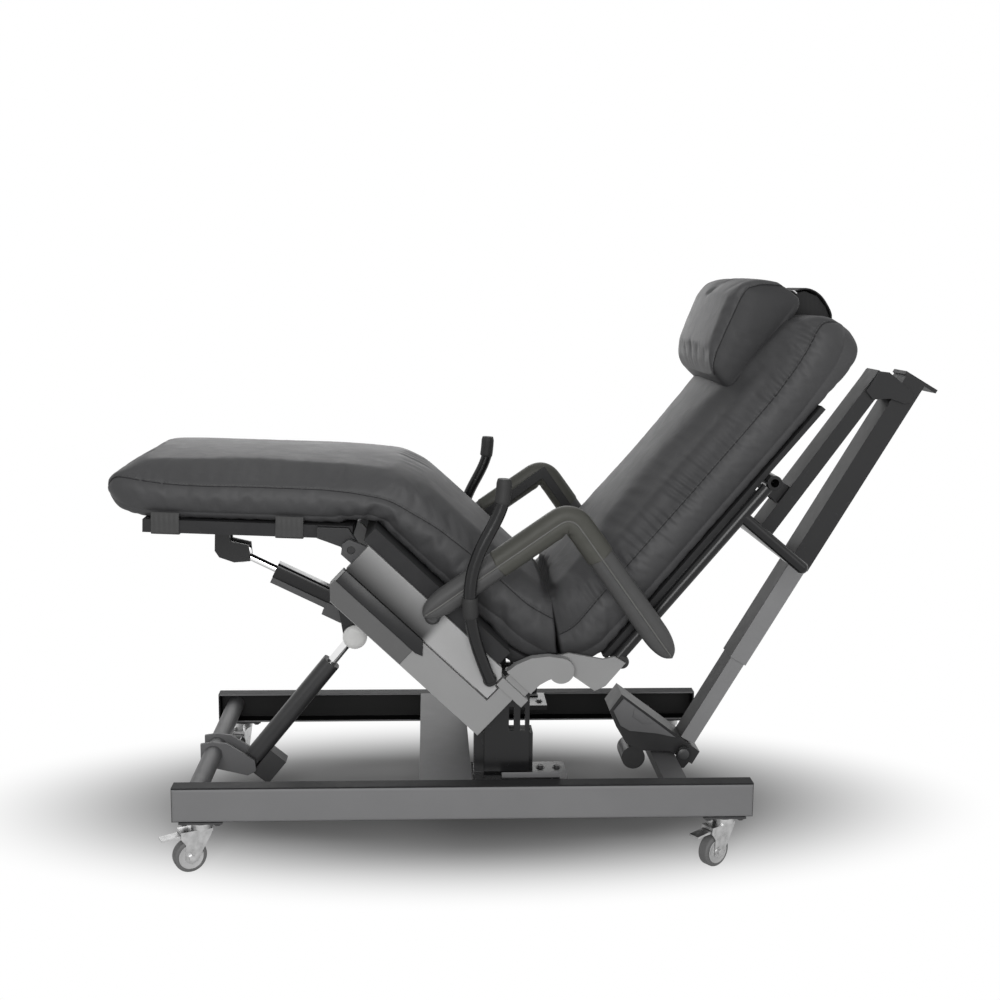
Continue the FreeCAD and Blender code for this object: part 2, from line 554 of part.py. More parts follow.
straps = []
for place in (val.strap_one, val.strap_two):
    for name, side in SIDES:
        drop = val.leg_board_low - val.seat_gap - val.strap_thick
        side_y = -val.leg_half - val.seat_gap - val.strap_thick if side < 0 else val.leg_half + val.seat_gap
        wrap_y = -val.leg_half - val.seat_gap if side < 0 else val.leg_half + val.seat_gap - val.strap_wrap
        strap_x = -place - val.strap_wide
        upright = ("strap_wide", "strap_thick", "leg_board_top - leg_board_low + strap_thick")
        straps.append(fuse(box(leg, (strap_x, side_y, drop), upright),
                           box(leg, (strap_x, wrap_y, drop), ("strap_wide", "strap_wrap", "strap_thick"))))
nodes["leg_straps"] = group(*straps)
eye_lug = [(-304, 13), (-274, 13), (-272, -38), (-232, -46), (-228, -80), (-262, -84), (-294, -74), (-304, -60)]
hinge_lug = [(-70, 18), (-70, 40), (-8, 40), (14, 8), (14, -12), (-10, -14), (-22, 2)]
eye_plates = [prism(leg, eye_lug, outer_level(side, val.eye_lug_in, val.lug_thick), "lug_thick")
              for name, side in SIDES]
flange = box(leg, (-310, -40, val.leg_board_low - 5.0), ("84", "80", "5"))
leg_pin_at = (-val.leg_eye_p, -val.eye_lug_in - val.lug_thick, val.leg_eye_q)
leg_pin = rod(leg, leg_pin_at, "y", "leg_rod_rad - 1", "2*(eye_lug_in + lug_thick)")
hinge_lugs = []
for name, side in SIDES:
    level = outer_level(side, val.leg_lug_in, val.leg_lug_thick)
    eye = rod(leg, (0, level - val.leg_lug_thick, 0), "y", "knee_eye - 4", "leg_lug_thick")
    pin_y = -val.beam_in + 2.0 if side < 0 else val.leg_lug_in
    pin = rod(leg, (0, pin_y, 0), "y", "knee_pin_rad", "beam_in - 2 - leg_lug_in")
    hinge_lugs.append(fuse(prism(leg, hinge_lug, level, "leg_lug_thick"), eye, pin))
nodes["leg_brackets"] = group(fuse(*eye_plates, flange, leg_pin), *hinge_lugs)

# Back rest. Local X runs up the back and local Z points to its front.
back_plate = [(10, 23), (34, 6), (69, -56), (88, -70), (92, -96), (30, -96), (8, -86), (4, -37), (0, 0)]
hinge_plates = []
for name, side in SIDES:
    level = outer_level(side, val.back_plate_in, val.back_plate_thick)
    eye_at = (0, level - val.back_plate_thick, 0)
    eye = rod(back, eye_at, "y", "pivot_eye", "back_plate_thick")
    plate = fuse(prism(back, back_plate, level, "back_plate_thick"), eye)
    hinge_plates.append(cut(plate, rod(back, eye_at, "y", dims_eye, "back_plate_thick")))
    tube_y = side * val.back_tube_y
    tube_at = (val.back_tube_start, tube_y, -val.back_tube_v)
    tube = rod(back, tube_at, "x", "back_tube_rad", "back_tube_end - back_tube_start")
    stub = rod(back, (val.stub_u, tube_y, -val.stub_v), "z", "back_tube_rad", "stub_v - back_tube_v")
    knob = doc.addObject("Part::Sphere", fresh("knob"))
    bind(knob, "Radius", "back_tube_rad")
    knob.Placement = back.multiply(Place(Vec(val.stub_u, tube_y, -val.stub_v), Turn()))
    nodes[name + "_back_tube"] = fuse(tube, stub, knob)
nodes["back_hinge_plates"] = group(*hinge_plates)
eye_at = (val.eye_tube_u, -val.eye_tube_half, -val.eye_tube_v)
nodes["upper_cross_tube"] = cut(rod(back, eye_at, "y", "eye_tube_rad", "2*eye_tube_half"),
                                rod(back, eye_at, "y", "eye_tube_bore", "2*eye_tube_half"))
bar_at = (val.stub_u, -val.rear_bar_half, -val.rear_bar_v)
nodes["rear_bar"] = rod(back, bar_at, "y", "back_tube_rad", "2*rear_bar_half")

# Hanger arm from the rear bar up to the mast head, with a fork for the mast and two upper brackets.
hanger = back.multiply(Place(Vec(val.hanger_low_u, 0, -val.hanger_low_v), turn_y(-hanger_lean)))
fork_plate = [(846, -188), (850, -164), (900, -158), (912, -176), (914, -236),
              (908, -252), (896, -256), (884, -248), (872, -216)]
bracket = [(545, -184), (590, -181), (580, -99.3), (548, -99.3)]
fork_plates = [
    prism(back, fork_plate, outer_level(side, val.hanger_half, val.fork_plate_thick), "fork_plate_thick")
    for name, side in SIDES]
brackets = [prism(back, bracket, outer_level(side, 20.0, val.lug_thick), "lug_thick") for name, side in SIDES]
hanger_tube = square_tube(hanger, 0, "hanger_long", "hanger_thick", "hanger_wide", "hanger_wall")
nodes["hanger_arm"] = fuse(hanger_tube, *fork_plates, *brackets)

# Back board and cushion, head pillow and the flap over the top.
nodes["back_board"] = box(back, (val.back_board_start, -val.back_board_half, -val.back_board_low),
                          ("back_board_end - back_board_start", "2*back_board_half", "back_board_thick"))
under = -val.back_cushion_rear
top = val.back_front
nodes["back_cushion"] = cushion(back, [
    ((30, 4), (96, top - 2), 224, 5, 3, 10), ((36, -22), (108, top + 2), 236, 9, 5, 16),
    ((50, -44), (120, top + 2), 243, 12, 6, 20), ((80, under), (136, top), 247, 15, 6, 24),
    ((130, under), (158, top), 254, 18, 6, 26), ((270, under), (280, top), 250, 18, 6, 26),
    ((430, under), (430, top), 248, 18, 6, 26), ((600, under), (596, top), 250, 18, 6, 26),
    ((760, under), (752, top), 254, 18, 6, 26), ((818, under), (806, top - 3), 248, 15, 6, 24),
    ((852, under + 3), (842, top - 10), 236, 11, 6, 20), ((873, under + 13), (863, top - 24), 218, 8, 6, 16),
    ((880, under + 36), (872, top - 43), 200, 5, 6, 12)])
seat_on = val.back_crown + val.seat_gap
nodes["head_pillow"] = cushion(back, [
    ((656, seat_on + 8), (660, 148), 176, 4, 4, 10), ((668, seat_on + 3), (670, 162), 185, 7, 5, 14),
    ((690, seat_on), (690, 178), 189, 10, 6, 18), ((735, seat_on), (735, 198), 190, 11, 6, 19),
    ((780, seat_on), (780, 214), 192, 12, 6, 20), ((815, seat_on), (813, 221), 190, 12, 6, 20),
    ((846, seat_on), (842, 222), 188, 10, 6, 18), ((870, seat_on + 4), (865, 206), 184, 8, 5, 14),
    ((888, seat_on + 14), (882, 172), 174, 5, 4, 10)])
flap = [(880.4, -20), (878.4, -4), (890, 0), (911, 7), (922.5, 28), (928.5, 57), (913, 92), (897, 101),
        (899, 105), (916, 97), (933, 58), (927, 26), (914, 2.5), (893, -5), (884.4, -19)]
nodes["pillow_flap"] = prism(back, flap, val.flap_half, "2*flap_half")

# Arm rests: a flat bar on the seat side, two padded lengths that meet at the corner.
arm_origin = seat.multVec(Vec(-val.arm_pivot_a, 0, val.arm_pivot_b))
arm_bar = [(-6, 14), (269, 219), (462, -52), (446, -64), (265, 190), (6, -2)]
front_low, corner_at, rear_low = (-15.0, 11.0), (267.0, 207.0), (470.0, -77.0)
mitre = 25.6
for name, side in SIDES:
    arm = Place(arm_origin, Turn())
    level = outer_level(side, val.arm_in, val.arm_bar_thick)
    eye_at = (0, level - val.arm_bar_thick, 0)
    arm_eye = rod(arm, eye_at, "y", "2*arm_pin_rad", "arm_bar_thick")
    bar = fuse(prism(arm, arm_bar, level, "arm_bar_thick"), arm_eye)
    nodes[name + "_arm_frame"] = cut(bar, rod(arm, eye_at, "y", "arm_pin_rad + run_fit", "arm_bar_thick"))
    pads = []
    for start, end, corner_last in ((front_low, corner_at, True), (corner_at, rear_low, False)):
        lean = math.degrees(math.atan2(end[1] - start[1], end[0] - start[0]))
        long = math.hypot(end[0] - start[0], end[1] - start[1])
        pad = arm.multiply(Place(Vec(start[0], side * val.pad_mid, start[1]), turn_y(-lean)))
        tip = [((0, -8), (0, 8), 8, 1, 1, 1), ((18, -19), (18, 16), 15, 4, 3, 3),
               ((48, -25), (48, 20), 18, 5, 2, 4)]
        body = [((160, -26), (160, 21), 18, 5, 2, 4), ((250, -26), (268, 21), 18, 5, 2, 4)]
        last = [((long - mitre - 0.4, -26), (long + mitre - 8.4, 21), 17, 5, 2, 4)]
        rows = tip + body + last
        if not corner_last:
            rows = [((long - low[0], low[1]), (long - high[0], high[1]), *rest) for low, high, *rest in rows]
        pads.append(cushion(pad, rows))
    nodes[name + "_arm_pad"] = group(*pads)

# Tilt actuator between the front tube and the seat.
body_at = (val.tilt_body_start, -val.tilt_body_wide / 2, -val.tilt_body_thick / 2)
tilt_case = box(tilt, body_at, ("tilt_body_end - tilt_body_start", "tilt_body_wide", "tilt_body_thick"))


def runs_along(place):
    def test(edge):
        first = place.inverse().multVec(edge.Vertexes[0].Point)
        last = place.inverse().multVec(edge.Vertexes[-1].Point)
        return abs(last.x - first.x) > 200
    return test


dims_foot = "lug_pin_rad + run_fit"
tilt_round = rounded(tilt_case, "case_round", runs_along(tilt))
tilt_eye = rod(tilt, (0, -val.eye_half, 0), "y", "2*lug_pin_rad", "2*eye_half")
tilt_neck = box(tilt, (8, -16, -14), ("18", "32", "28"))
tilt_motor = box(tilt, (-6, -21, -62), ("64", "42", "44"))
tilt_body = fuse(tilt_round, tilt_eye, tilt_neck, tilt_motor)
nodes["tilt_actuator"] = cut(
    tilt_body, rod(tilt, (0, -val.eye_half, 0), "y", dims_foot, "2*eye_half"),
    rod(tilt, (val.tilt_bore_start, 0, 0), "x", "tilt_rod_rad + run_fit", "tilt_body_end - tilt_bore_start"))
rod_end = tilt_reach - val.knuckle_rad / 2
tilt_shaft = rod(tilt, (val.tilt_rod_tail, 0, 0), "x", "tilt_rod_rad", "%.6f - tilt_rod_tail" % rod_end)
head_at = (tilt_reach, -val.eye_half, 0)
tilt_head_eye = rod(tilt, head_at, "y", "knuckle_rad", "2*eye_half")
tilt_head_hole = rod(tilt, head_at, "y", "lug_pin_rad + head_play", "2*eye_half")
nodes["tilt_rod"] = cut(fuse(tilt_shaft, tilt_head_eye), tilt_head_hole)

# Leg actuator between the seat and the leg rest. Its local Z points down.
case = box(legact, (12, -20, -val.leg_body_thick / 2), ("leg_body_end - 12", "40", "leg_body_thick"))
strip = box(legact, (20, -14, val.leg_body_thick / 2), ("leg_body_end - 20", "28", "leg_strip"))
motor = box(legact, (0, -20, 14), ("46", "40", "30"))
foot_eye = rod(legact, (0, -val.eye_half, 0), "y", "2*lug_pin_rad", "2*eye_half")
nodes["leg_actuator"] = cut(
    fuse(case, strip, motor, foot_eye), rod(legact, (0, -val.eye_half, 0), "y", dims_foot, "2*eye_half"),
    rod(legact, (val.leg_bore_start, 0, 0), "x", "leg_rod_rad + run_fit", "leg_body_end - leg_bore_start"))
rod_end = leg_reach - 13.0
leg_shaft = rod(legact, (val.leg_rod_tail, 0, 0), "x", "leg_rod_rad", "%.6f - leg_rod_tail" % rod_end)
ring_at = (leg_reach, -14, 0)
leg_ring = rod(legact, ring_at, "y", "18", "28")
nodes["leg_rod"] = cut(fuse(leg_shaft, leg_ring), rod(legact, ring_at, "y", "leg_rod_rad + head_play", "28"))

# Mast: a foot housing with its motor, and three stages that slide in one another.
housing = [(20, -34), (45, 186), (0, 190), (-24, 158), (-45, 120), (-45, 85), (-13, 25), (-13, -34)]
case = prism(mast, housing, val.housing_half, "2*housing_half")
motor = rod(mast, (-67, -38, 86), "y", "motor_rad", "76")
pin_hole = rod(mast, (0, -val.housing_half, 0), "y", "mast_pin_rad + run_fit", "2*housing_half")
nodes["mast_housing"] = cut(fuse(case, motor), pin_hole)
nodes["mast_lower"] = square_tube(
    mast, val.lower_start, "lower_end - lower_start", "lower_thick", "lower_wide", "lower_wall")
nodes["mast_mid"] = square_tube(
    mast, val.mid_start, "mid_end - mid_start", "mid_thick", "mid_wide", "mid_wall")
upper = square_tube(
    mast, val.upper_start, "upper_end - upper_start", "upper_thick", "upper_wide", "upper_wall")
cap = box(mast, (val.upper_end, -val.upper_wide / 2, -53), ("mast_cap", "upper_wide", "81"))
nodes["mast_upper"] = fuse(upper, cap)

doc.recompute()
for obj in doc.Objects:
    if "Invalid" in obj.State or "Error" in obj.State:
        raise RuntimeError("%s is %s" % (obj.Name, obj.State))
os.makedirs("parts", exist_ok=True)
whole = FreeCAD.BoundBox()
for name, obj in nodes.items():
    shape = obj.Shape
    if shape.isNull() or not shape.isValid() or shape.Volume <= 0:
        raise RuntimeError("%s has no sound solid" % name)
    whole.add(shape.BoundBox)
    shape.exportStep("parts/%s.step" % name)
print("nodes", len(nodes))
print("box", [round(v, 1) for v in (whole.XMin, whole.XMax, whole.YMin, whole.YMax, whole.ZMin, whole.ZMax)])
print("reach", round(tilt_reach, 3), round(leg_reach, 3))
pivot_spots = dict(hub=hub, knee=knee, mast=mast_foot, tilt_foot=tilt_foot, tilt_head=tilt_head,
                   leg_foot=leg_foot, leg_eye=leg_eye, arm=arm_origin)
for label, spot in pivot_spots.items():
    print(label, round(spot.x, 3), round(spot.z, 3))
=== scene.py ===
# %% [markdown]
# # A powered zero gravity chair
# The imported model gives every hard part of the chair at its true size. This lesson dresses it: paint, plastic
# and plated steel on the hard parts, and sewn, padded covers in place of the plain blocks that stand for foam.
# Everything is in metres and in the model's own frame, so a piece is simply made where it belongs.

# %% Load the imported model
import json
import math
import bmesh
import bpy
import numpy as np
from mathutils import Matrix, Vector


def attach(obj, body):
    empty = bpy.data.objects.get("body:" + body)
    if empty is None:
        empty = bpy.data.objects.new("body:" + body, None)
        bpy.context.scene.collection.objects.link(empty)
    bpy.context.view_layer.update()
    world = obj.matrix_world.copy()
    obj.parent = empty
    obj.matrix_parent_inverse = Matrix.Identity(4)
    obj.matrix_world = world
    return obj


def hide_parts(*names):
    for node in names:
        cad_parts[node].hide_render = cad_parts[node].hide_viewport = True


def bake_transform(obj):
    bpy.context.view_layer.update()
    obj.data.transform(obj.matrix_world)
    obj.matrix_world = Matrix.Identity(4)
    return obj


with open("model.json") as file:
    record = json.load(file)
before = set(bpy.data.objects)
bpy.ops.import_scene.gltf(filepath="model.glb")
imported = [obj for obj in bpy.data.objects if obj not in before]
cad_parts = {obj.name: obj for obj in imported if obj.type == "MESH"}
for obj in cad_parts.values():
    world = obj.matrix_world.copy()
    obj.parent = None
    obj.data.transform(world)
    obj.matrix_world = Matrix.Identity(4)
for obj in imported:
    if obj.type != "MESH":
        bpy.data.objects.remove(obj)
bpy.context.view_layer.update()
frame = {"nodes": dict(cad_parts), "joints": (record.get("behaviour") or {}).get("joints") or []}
nodes = frame["nodes"]
pivots = {joint["name"]: Vector(joint["pos_m"]) for joint in frame["joints"] if "pos_m" in joint}

# %% Frames of the seat, leg rest, back and mast
MM = 0.001
SIDES = ((-1, "near"), (1, "far"))


def tilted(origin, tilt):
    """A frame at a point, turned by tilt degrees about the axis that runs across the chair."""
    return Matrix.Translation(origin) @ Matrix.Rotation(math.radians(tilt), 4, "Y")


SEAT = tilted(pivots["seat_tilt"], 43.3)
BACK = tilted(pivots["back_recline"], -50.0)
LEG = tilted(pivots["leg_lift"], 2.0)
MAST = tilted(Vector((0.3335, 0.0, 0.138)), -59.7)
WORLD = Matrix.Identity(4)


def placed(name, data):
    """A new object in the scene."""
    piece = bpy.data.objects.new(name, data)
    bpy.context.scene.collection.objects.link(piece)
    return piece


print("frames ready")

# %% [markdown]
# ## Helpers for colours and nodes
# Colours are written as sRGB hex, as a colour picker shows them, and one function turns them to linear light.
# One small function adds a node: constants go on its sockets, and sockets of other nodes become links. The
# others are the few steps that every material here takes.

# %% Colour and node helpers
def linear(code):
    """Linear RGBA of an sRGB hex colour."""
    shades = [int(code[place:place + 2], 16) / 255 for place in (1, 3, 5)]
    return [s / 12.92 if s <= 0.04045 else ((s + 0.055) / 1.055) ** 2.4 for s in shades] + [1.0]


def feed(tree, node, inputs):
    """Sets a node's inputs, each a constant or another node's output socket."""
    for name, value in inputs.items():
        if isinstance(value, bpy.types.NodeSocket):
            tree.links.new(value, node.inputs[name])
        else:
            node.inputs[name].default_value = value


def add(tree, kind, inputs=None, **settings):
    """Adds one node."""
    node = tree.nodes.new(kind)
    for name, value in settings.items():
        setattr(node, name, value)
    feed(tree, node, inputs or {})
    return node


def maths(tree, operation, first, second=0.0):
    return add(tree, "ShaderNodeMath", {0: first, 1: second}, operation=operation).outputs[0]


def times(tree, colour, factor):
    return add(tree, "ShaderNodeVectorMath", {0: colour, 1: factor}, operation="MULTIPLY").outputs[0]


def spread(tree, value, low, high, start=0.0, end=1.0, **settings):
    """A value that runs from start to end, mapped to run from low to high."""
    return add(tree, "ShaderNodeMapRange", {"Value": value, "From Min": start, "From Max": end, "To Min": low,
                                            "To Max": high}, **settings).outputs[0]


def mixed(tree, factor, first, second):
    """A colour between two others."""
    return add(tree, "ShaderNodeMix", {"Factor": factor, "A": first, "B": second},
               data_type="RGBA").outputs["Result"]


def clouds(tree, place, size_mm, detail, **more):
    """Soft noise whose clouds are about size_mm across."""
    return add(tree, "ShaderNodeTexNoise", {"Vector": place, "Scale": 1.0 / (size_mm * MM), "Detail": detail,
                                            **more}).outputs["Fac"]


def cells(tree, place, size_mm, **settings):
    """A grain of cells about size_mm apart."""
    return add(tree, "ShaderNodeTexVoronoi", {"Vector": place, "Scale": 1.0 / (size_mm * MM)},
               **settings).outputs["Distance"]


def bumped(tree, height, strength, deep_mm, **under):
    """A surface raised by a height, on top of another one where that is given as Normal."""
    return add(tree, "ShaderNodeBump", {"Height": height, "Strength": strength, "Distance": deep_mm * MM,
                                        **under}).outputs[0]


def blank_material(name):
    """A material with only a Principled shader, its tree and its object coordinates."""
    material = bpy.data.materials.new(name)
    material.use_nodes = True
    tree = material.node_tree
    return material, tree, tree.nodes["Principled BSDF"], add(tree, "ShaderNodeTexCoord").outputs["Object"]


print("node helpers ready")

# %% [markdown]
# ## Camera
# The camera stands where the photograph was taken from: about three metres to the near side, a little above
# the chair's middle, looking slightly to the right and down. The focal length was fitted from the base rails.

# %% Camera at the photograph's viewpoint
CAMERA_AT = (-0.2332, -2.9773, 1.1614)
SENSOR_MM = 36.0
FOCAL_PER_WIDTH = 1.3852
yaw, pitch, roll = (math.radians(angle) for angle in (3.04, 8.85, -0.55))
ahead = Vector((math.sin(yaw) * math.cos(pitch), math.cos(yaw) * math.cos(pitch), -math.sin(pitch)))
level = Vector((math.cos(yaw), -math.sin(yaw), 0.0))
rise = level.cross(ahead)
right = level * math.cos(roll) - rise * math.sin(roll)
upward = level * math.sin(roll) + rise * math.cos(roll)
turned = Matrix((right, upward, -ahead)).transposed().to_4x4()
camera = placed("camera", bpy.data.cameras.new("camera"))
camera.matrix_world = Matrix.Translation(CAMERA_AT) @ turned
camera.data.sensor_width = SENSOR_MM
camera.data.lens = FOCAL_PER_WIDTH * SENSOR_MM
bpy.context.scene.camera = camera
print("lens", round(camera.data.lens, 2), "mm")

# %% [markdown]
# ## Floor, backdrop and lights
# The chair stands on white. The world shows white to the camera and to reflections, and gives the chair only a
# soft, even light. A large lamp stands in front of the chair, high beside the camera, with three weak ones to
# its right, above and behind. Near the chair the floor is grey paper with the lamps' real shadows on it; its grey
# is itself a painted shadow, which fades to plain white over an ellipse round the chair.

# %% World and lamps
def seen_directly(tree):
    """1 for rays from the camera, through glass and off a shiny surface, which show the backdrop itself."""
    ray = add(tree, "ShaderNodeLightPath").outputs
    direct = maths(tree, "MAXIMUM", ray["Is Camera Ray"], ray["Is Transmission Ray"])
    return maths(tree, "MAXIMUM", direct, ray["Is Glossy Ray"])


scene = bpy.context.scene
scene.view_settings.view_transform = "Standard"
scene.world = bpy.data.worlds.new("white_studio")
scene.world.use_nodes = True
sky = scene.world.node_tree
sky.nodes.clear()
soft, shown = (add(sky, "ShaderNodeBackground", {"Color": linear("#ffffff"), "Strength": strength}).outputs[0]
               for strength in (0.16, 1.0))
choice = add(sky, "ShaderNodeMixShader", {0: seen_directly(sky), 1: soft, 2: shown})
add(sky, "ShaderNodeOutputWorld", {"Surface": choice.outputs[0]})


def lamp(name, at, aim, size, watts):
    """A soft square lamp at one point that faces another."""
    light = bpy.data.lights.new(name, "AREA")
    light.size = size
    light.energy = watts
    holder = placed(name, light)
    holder.location = at
    holder.rotation_euler = (Vector(aim) - Vector(at)).to_track_quat("-Z", "Y").to_euler()


lamp("key_lamp", (-0.5, -3.6, 1.5), (-0.1, 0.0, 0.5), 1.8, 72.0)
lamp("fill_lamp", (2.4, -2.6, 1.6), (0.2, 0.0, 0.6), 1.6, 10.0)
lamp("top_lamp", (0.0, 0.4, 3.2), (0.0, 0.0, 0.0), 1.6, 8.0)
lamp("far_lamp", (-0.6, 3.8, 1.7), (0.0, 0.0, 0.5), 2.2, 24.0)

# %% Floor
floor_mesh = bpy.data.meshes.new("floor")
floor_mesh.from_pydata([(-30, -12, 0), (30, -12, 0), (30, 40, 0), (-30, 40, 0)], [], [(0, 1, 2, 3)])
floor = placed("floor", floor_mesh)
pale = bpy.data.materials.new("matt_floor_painted_shadow")
pale.use_nodes = True
tree = pale.node_tree
tree.nodes.clear()
spot = add(tree, "ShaderNodeTexCoord").outputs["Object"]
# Painted shadow: the floor is grey diffuse paper within an ellipse round the chair, which also takes the lamps' real
# shadows, and plain white beyond it.
painted_shadow_ellipse = add(tree, "ShaderNodeMapping", {"Vector": spot, "Location": (0.11, -0.08, 0.0), "Scale": (0.84, 1.75, 1.0)})
reach = add(tree, "ShaderNodeVectorMath", {0: painted_shadow_ellipse.outputs[0]}, operation="LENGTH").outputs["Value"]
fade = spread(tree, reach, 0.0, 1.0, 0.42, 1.02, interpolation_type="SMOOTHSTEP")
shade = add(tree, "ShaderNodeBsdfDiffuse", {"Color": linear("#bcbcbc")}).outputs[0]
white = add(tree, "ShaderNodeEmission", {"Color": linear("#ffffff"), "Strength": 1.0}).outputs[0]
plain = maths(tree, "MULTIPLY", fade, seen_directly(tree))
paper = add(tree, "ShaderNodeMixShader", {0: plain, 1: shade, 2: white})
add(tree, "ShaderNodeOutputMaterial", {"Surface": paper.outputs[0]})
floor_mesh.materials.append(pale)
print("floor ready")

# %% [markdown]
# ## Finishes of the hard parts
# Powder coat is a baked paint. It has a faint orange peel, a few millimetres from crest to crest, and a satin
# gloss that varies a little where hands and tools have rubbed it. The real peel is finer than a pixel, so it is
# drawn at three millimetres here, coarse enough to show. Light and shade are painted into some of these paints:
# the rails and the mast have a painted tone on the faces that look across the chair, paler on some and darker on
# others, the inside of the rails' channel is painted black for its shade, and painted shade darkens the side
# plates towards their low edge at the foot end, as on a plate that rolls under.

# %% Tones of a paint
def side_faces(tree, place):
    """1 on faces that look across the chair, 0 on the others."""
    facing = add(tree, "ShaderNodeSeparateXYZ", {"Vector": place.node.outputs["Normal"]}).outputs
    return maths(tree, "GREATER_THAN", maths(tree, "ABSOLUTE", facing["Y"]), 0.7)


def painted_roll_light(tree, place, base, heights, lengths):
    """Painted light and shade of a plate that rolls under, in its own frame: dark at the low height, and full past the
    lengths.
    """
    local = add(tree, "ShaderNodeMapping", {"Vector": place, "Location": base.translation,
                                            "Rotation": base.to_euler()}, vector_type="TEXTURE")
    at = add(tree, "ShaderNodeSeparateXYZ", {"Vector": local.outputs[0]}).outputs
    turn = spread(tree, at["Z"], 0.03, 0.78, *heights)
    flat = spread(tree, at["X"], 0.0, 1.0, *lengths, interpolation_type="SMOOTHSTEP")
    return add(tree, "ShaderNodeMix", {"Factor": flat, "A": turn, "B": 1.0}).outputs[0]


def within(tree, place, reach, low, high):
    """1 where Y is within reach of the middle plane and Z lies between low and high."""
    at = add(tree, "ShaderNodeSeparateXYZ", {"Vector": place}).outputs
    inner = maths(tree, "LESS_THAN", maths(tree, "ABSOLUTE", at["Y"]), reach)
    above, below = maths(tree, "GREATER_THAN", at["Z"], low), maths(tree, "LESS_THAN", at["Z"], high)
    return maths(tree, "MULTIPLY", inner, maths(tree, "MULTIPLY", above, below))


print("tones ready")

# %% Powder coat on steel
def powder_coat(name, shade, rough, peel=0.10, rubbed="#8a8a8a", painted_side_shading=None, painted_underside_shade=None, dark_zone=None,
                painted_shade_and_dark_paint="#060606"):
    """painted_side_shading is a colour painted on the faces that look across the chair, for the light and shade that
    fall on them. painted_underside_shade holds the values of painted_roll_light, and dark_zone those of the space
    within which the paint takes the colour painted_shade_and_dark_paint."""
    material, tree, shader, place = blank_material(name)
    clean, shine = linear(shade), 0.30
    # Faces that look across the chair get a painted tone of their own: painted light where it is paler, painted shade
    # where it is darker.
    if painted_side_shading:
        cheek = side_faces(tree, place)
        clean, shine = mixed(tree, cheek, clean, linear(painted_side_shading)), spread(tree, cheek, 0.06, shine)
    scuff = clouds(tree, place, 26.0, 8.0, Roughness=0.72)
    worn = mixed(tree, spread(tree, scuff, 0.0, 0.10, 0.60, 0.74), clean, linear(rubbed))
    colour = times(tree, worn, spread(tree, clouds(tree, place, 140.0, 4.0), 0.90, 1.10))
    # Painted shade that darkens the plate towards its low edge, as on a plate that rolls under.
    if painted_underside_shade:
        colour = times(tree, colour, painted_roll_light(tree, place, *painted_underside_shade))
    # The space takes its own colour: painted shade inside the rails' channel, and the lugs' own darker paint on the
    # side plates.
    if dark_zone:
        colour = mixed(tree, within(tree, place, *dark_zone), colour, linear(painted_shade_and_dark_paint))
    eased_edge = add(tree, "ShaderNodeBevel", {"Radius": 1.4 * MM}, samples=6).outputs[0]
    feed(tree, shader, {
        "Base Color": colour, "Specular IOR Level": shine,
        "Roughness": spread(tree, scuff, rough - 0.08, rough + 0.10),
        "Normal": bumped(tree, clouds(tree, place, 3.0, 2.0), peel, 0.4, Normal=eased_edge)})
    return material


BEAM_IN = 0.276
rail_paint = powder_coat("powder_coat_charcoal", "#6c6c6d", 0.50)
# The rails: the faces that look across the chair are painted paler and the others darker, for the light on their
# fronts and the shade on their tops, and the inside of the channel is painted black for its shade.
channel_paint = powder_coat("powder_coat_charcoal_channel", "#353536", 0.50, dark_zone=(0.3365, 0.1055, 0.1685),
                            painted_side_shading="#818182")
silver_paint = powder_coat("powder_coat_silver_grey", "#9c9c9c", 0.42, rubbed="#b8b8b8")
# The side plates: painted shade darkens them towards their low edge at the foot end, as on a plate that rolls under;
# their lugs keep their own darker paint.
side_paint = powder_coat("powder_coat_silver_side", "#b4b4b4", 0.42, rubbed="#b8b8b8",
                         painted_underside_shade=(SEAT, (-0.138, -0.077), (-0.254, -0.232)), dark_zone=(BEAM_IN + 0.0005, 0.0, 2.0),
                         painted_shade_and_dark_paint="#464647")
cover_paint = powder_coat("powder_coat_mid_grey", "#626262", 0.46)
tube_paint = powder_coat("gloss_black_enamel", "#1b1b1c", 0.24, peel=0.05, rubbed="#3a3a3a")
plate_paint = powder_coat("satin_black_enamel", "#202021", 0.38, rubbed="#3c3c3c")
# The mast: the faces that look across the chair are painted darker than the others on the upper stage and paler on the
# lower stages, for how light falls on them.
mast_paint = powder_coat("powder_coat_dark_grey", "#353536", 0.42, painted_side_shading="#272728")
mast_light = powder_coat("powder_coat_mast_grey", "#323233", 0.40, painted_side_shading="#919192")
print("paints ready")

# %% [markdown]
# Plated steel and turned steel are metals: nearly all their look is reflection. The plating on the castors is
# cloudy in small patches, and the chromed rods of the actuators are the smoothest. Plastic and rubber are matt,
# with the fine grain of the mould.

# %% Plated steel, tyre rubber and moulded plastic
def bright_metal(name, shade, rough, cloud_mm, vary, bright="#f0f0f0"):
    material, tree, shader, place = blank_material(name)
    haze = clouds(tree, place, cloud_mm, 6.0)
    feed(tree, shader, {"Metallic": 1.0, "Roughness": spread(tree, haze, rough - vary, rough + vary),
                        "Base Color": mixed(tree, haze, linear(shade), linear(bright))})
    return material


def moulded(name, shade, rough, grain_mm, depth=0.25):
    """Moulded plastic or rubber: a fine spark-eroded grain from the tool, and a dusty bloom."""
    material, tree, shader, place = blank_material(name)
    dust = clouds(tree, place, 34.0, 6.0)
    feed(tree, shader, {"Base Color": times(tree, linear(shade)[:3], spread(tree, dust, 0.86, 1.16)),
                        "Roughness": spread(tree, dust, rough - 0.06, rough + 0.08),
                        "Normal": bumped(tree, cells(tree, place, grain_mm), depth, 0.3)})
    return material


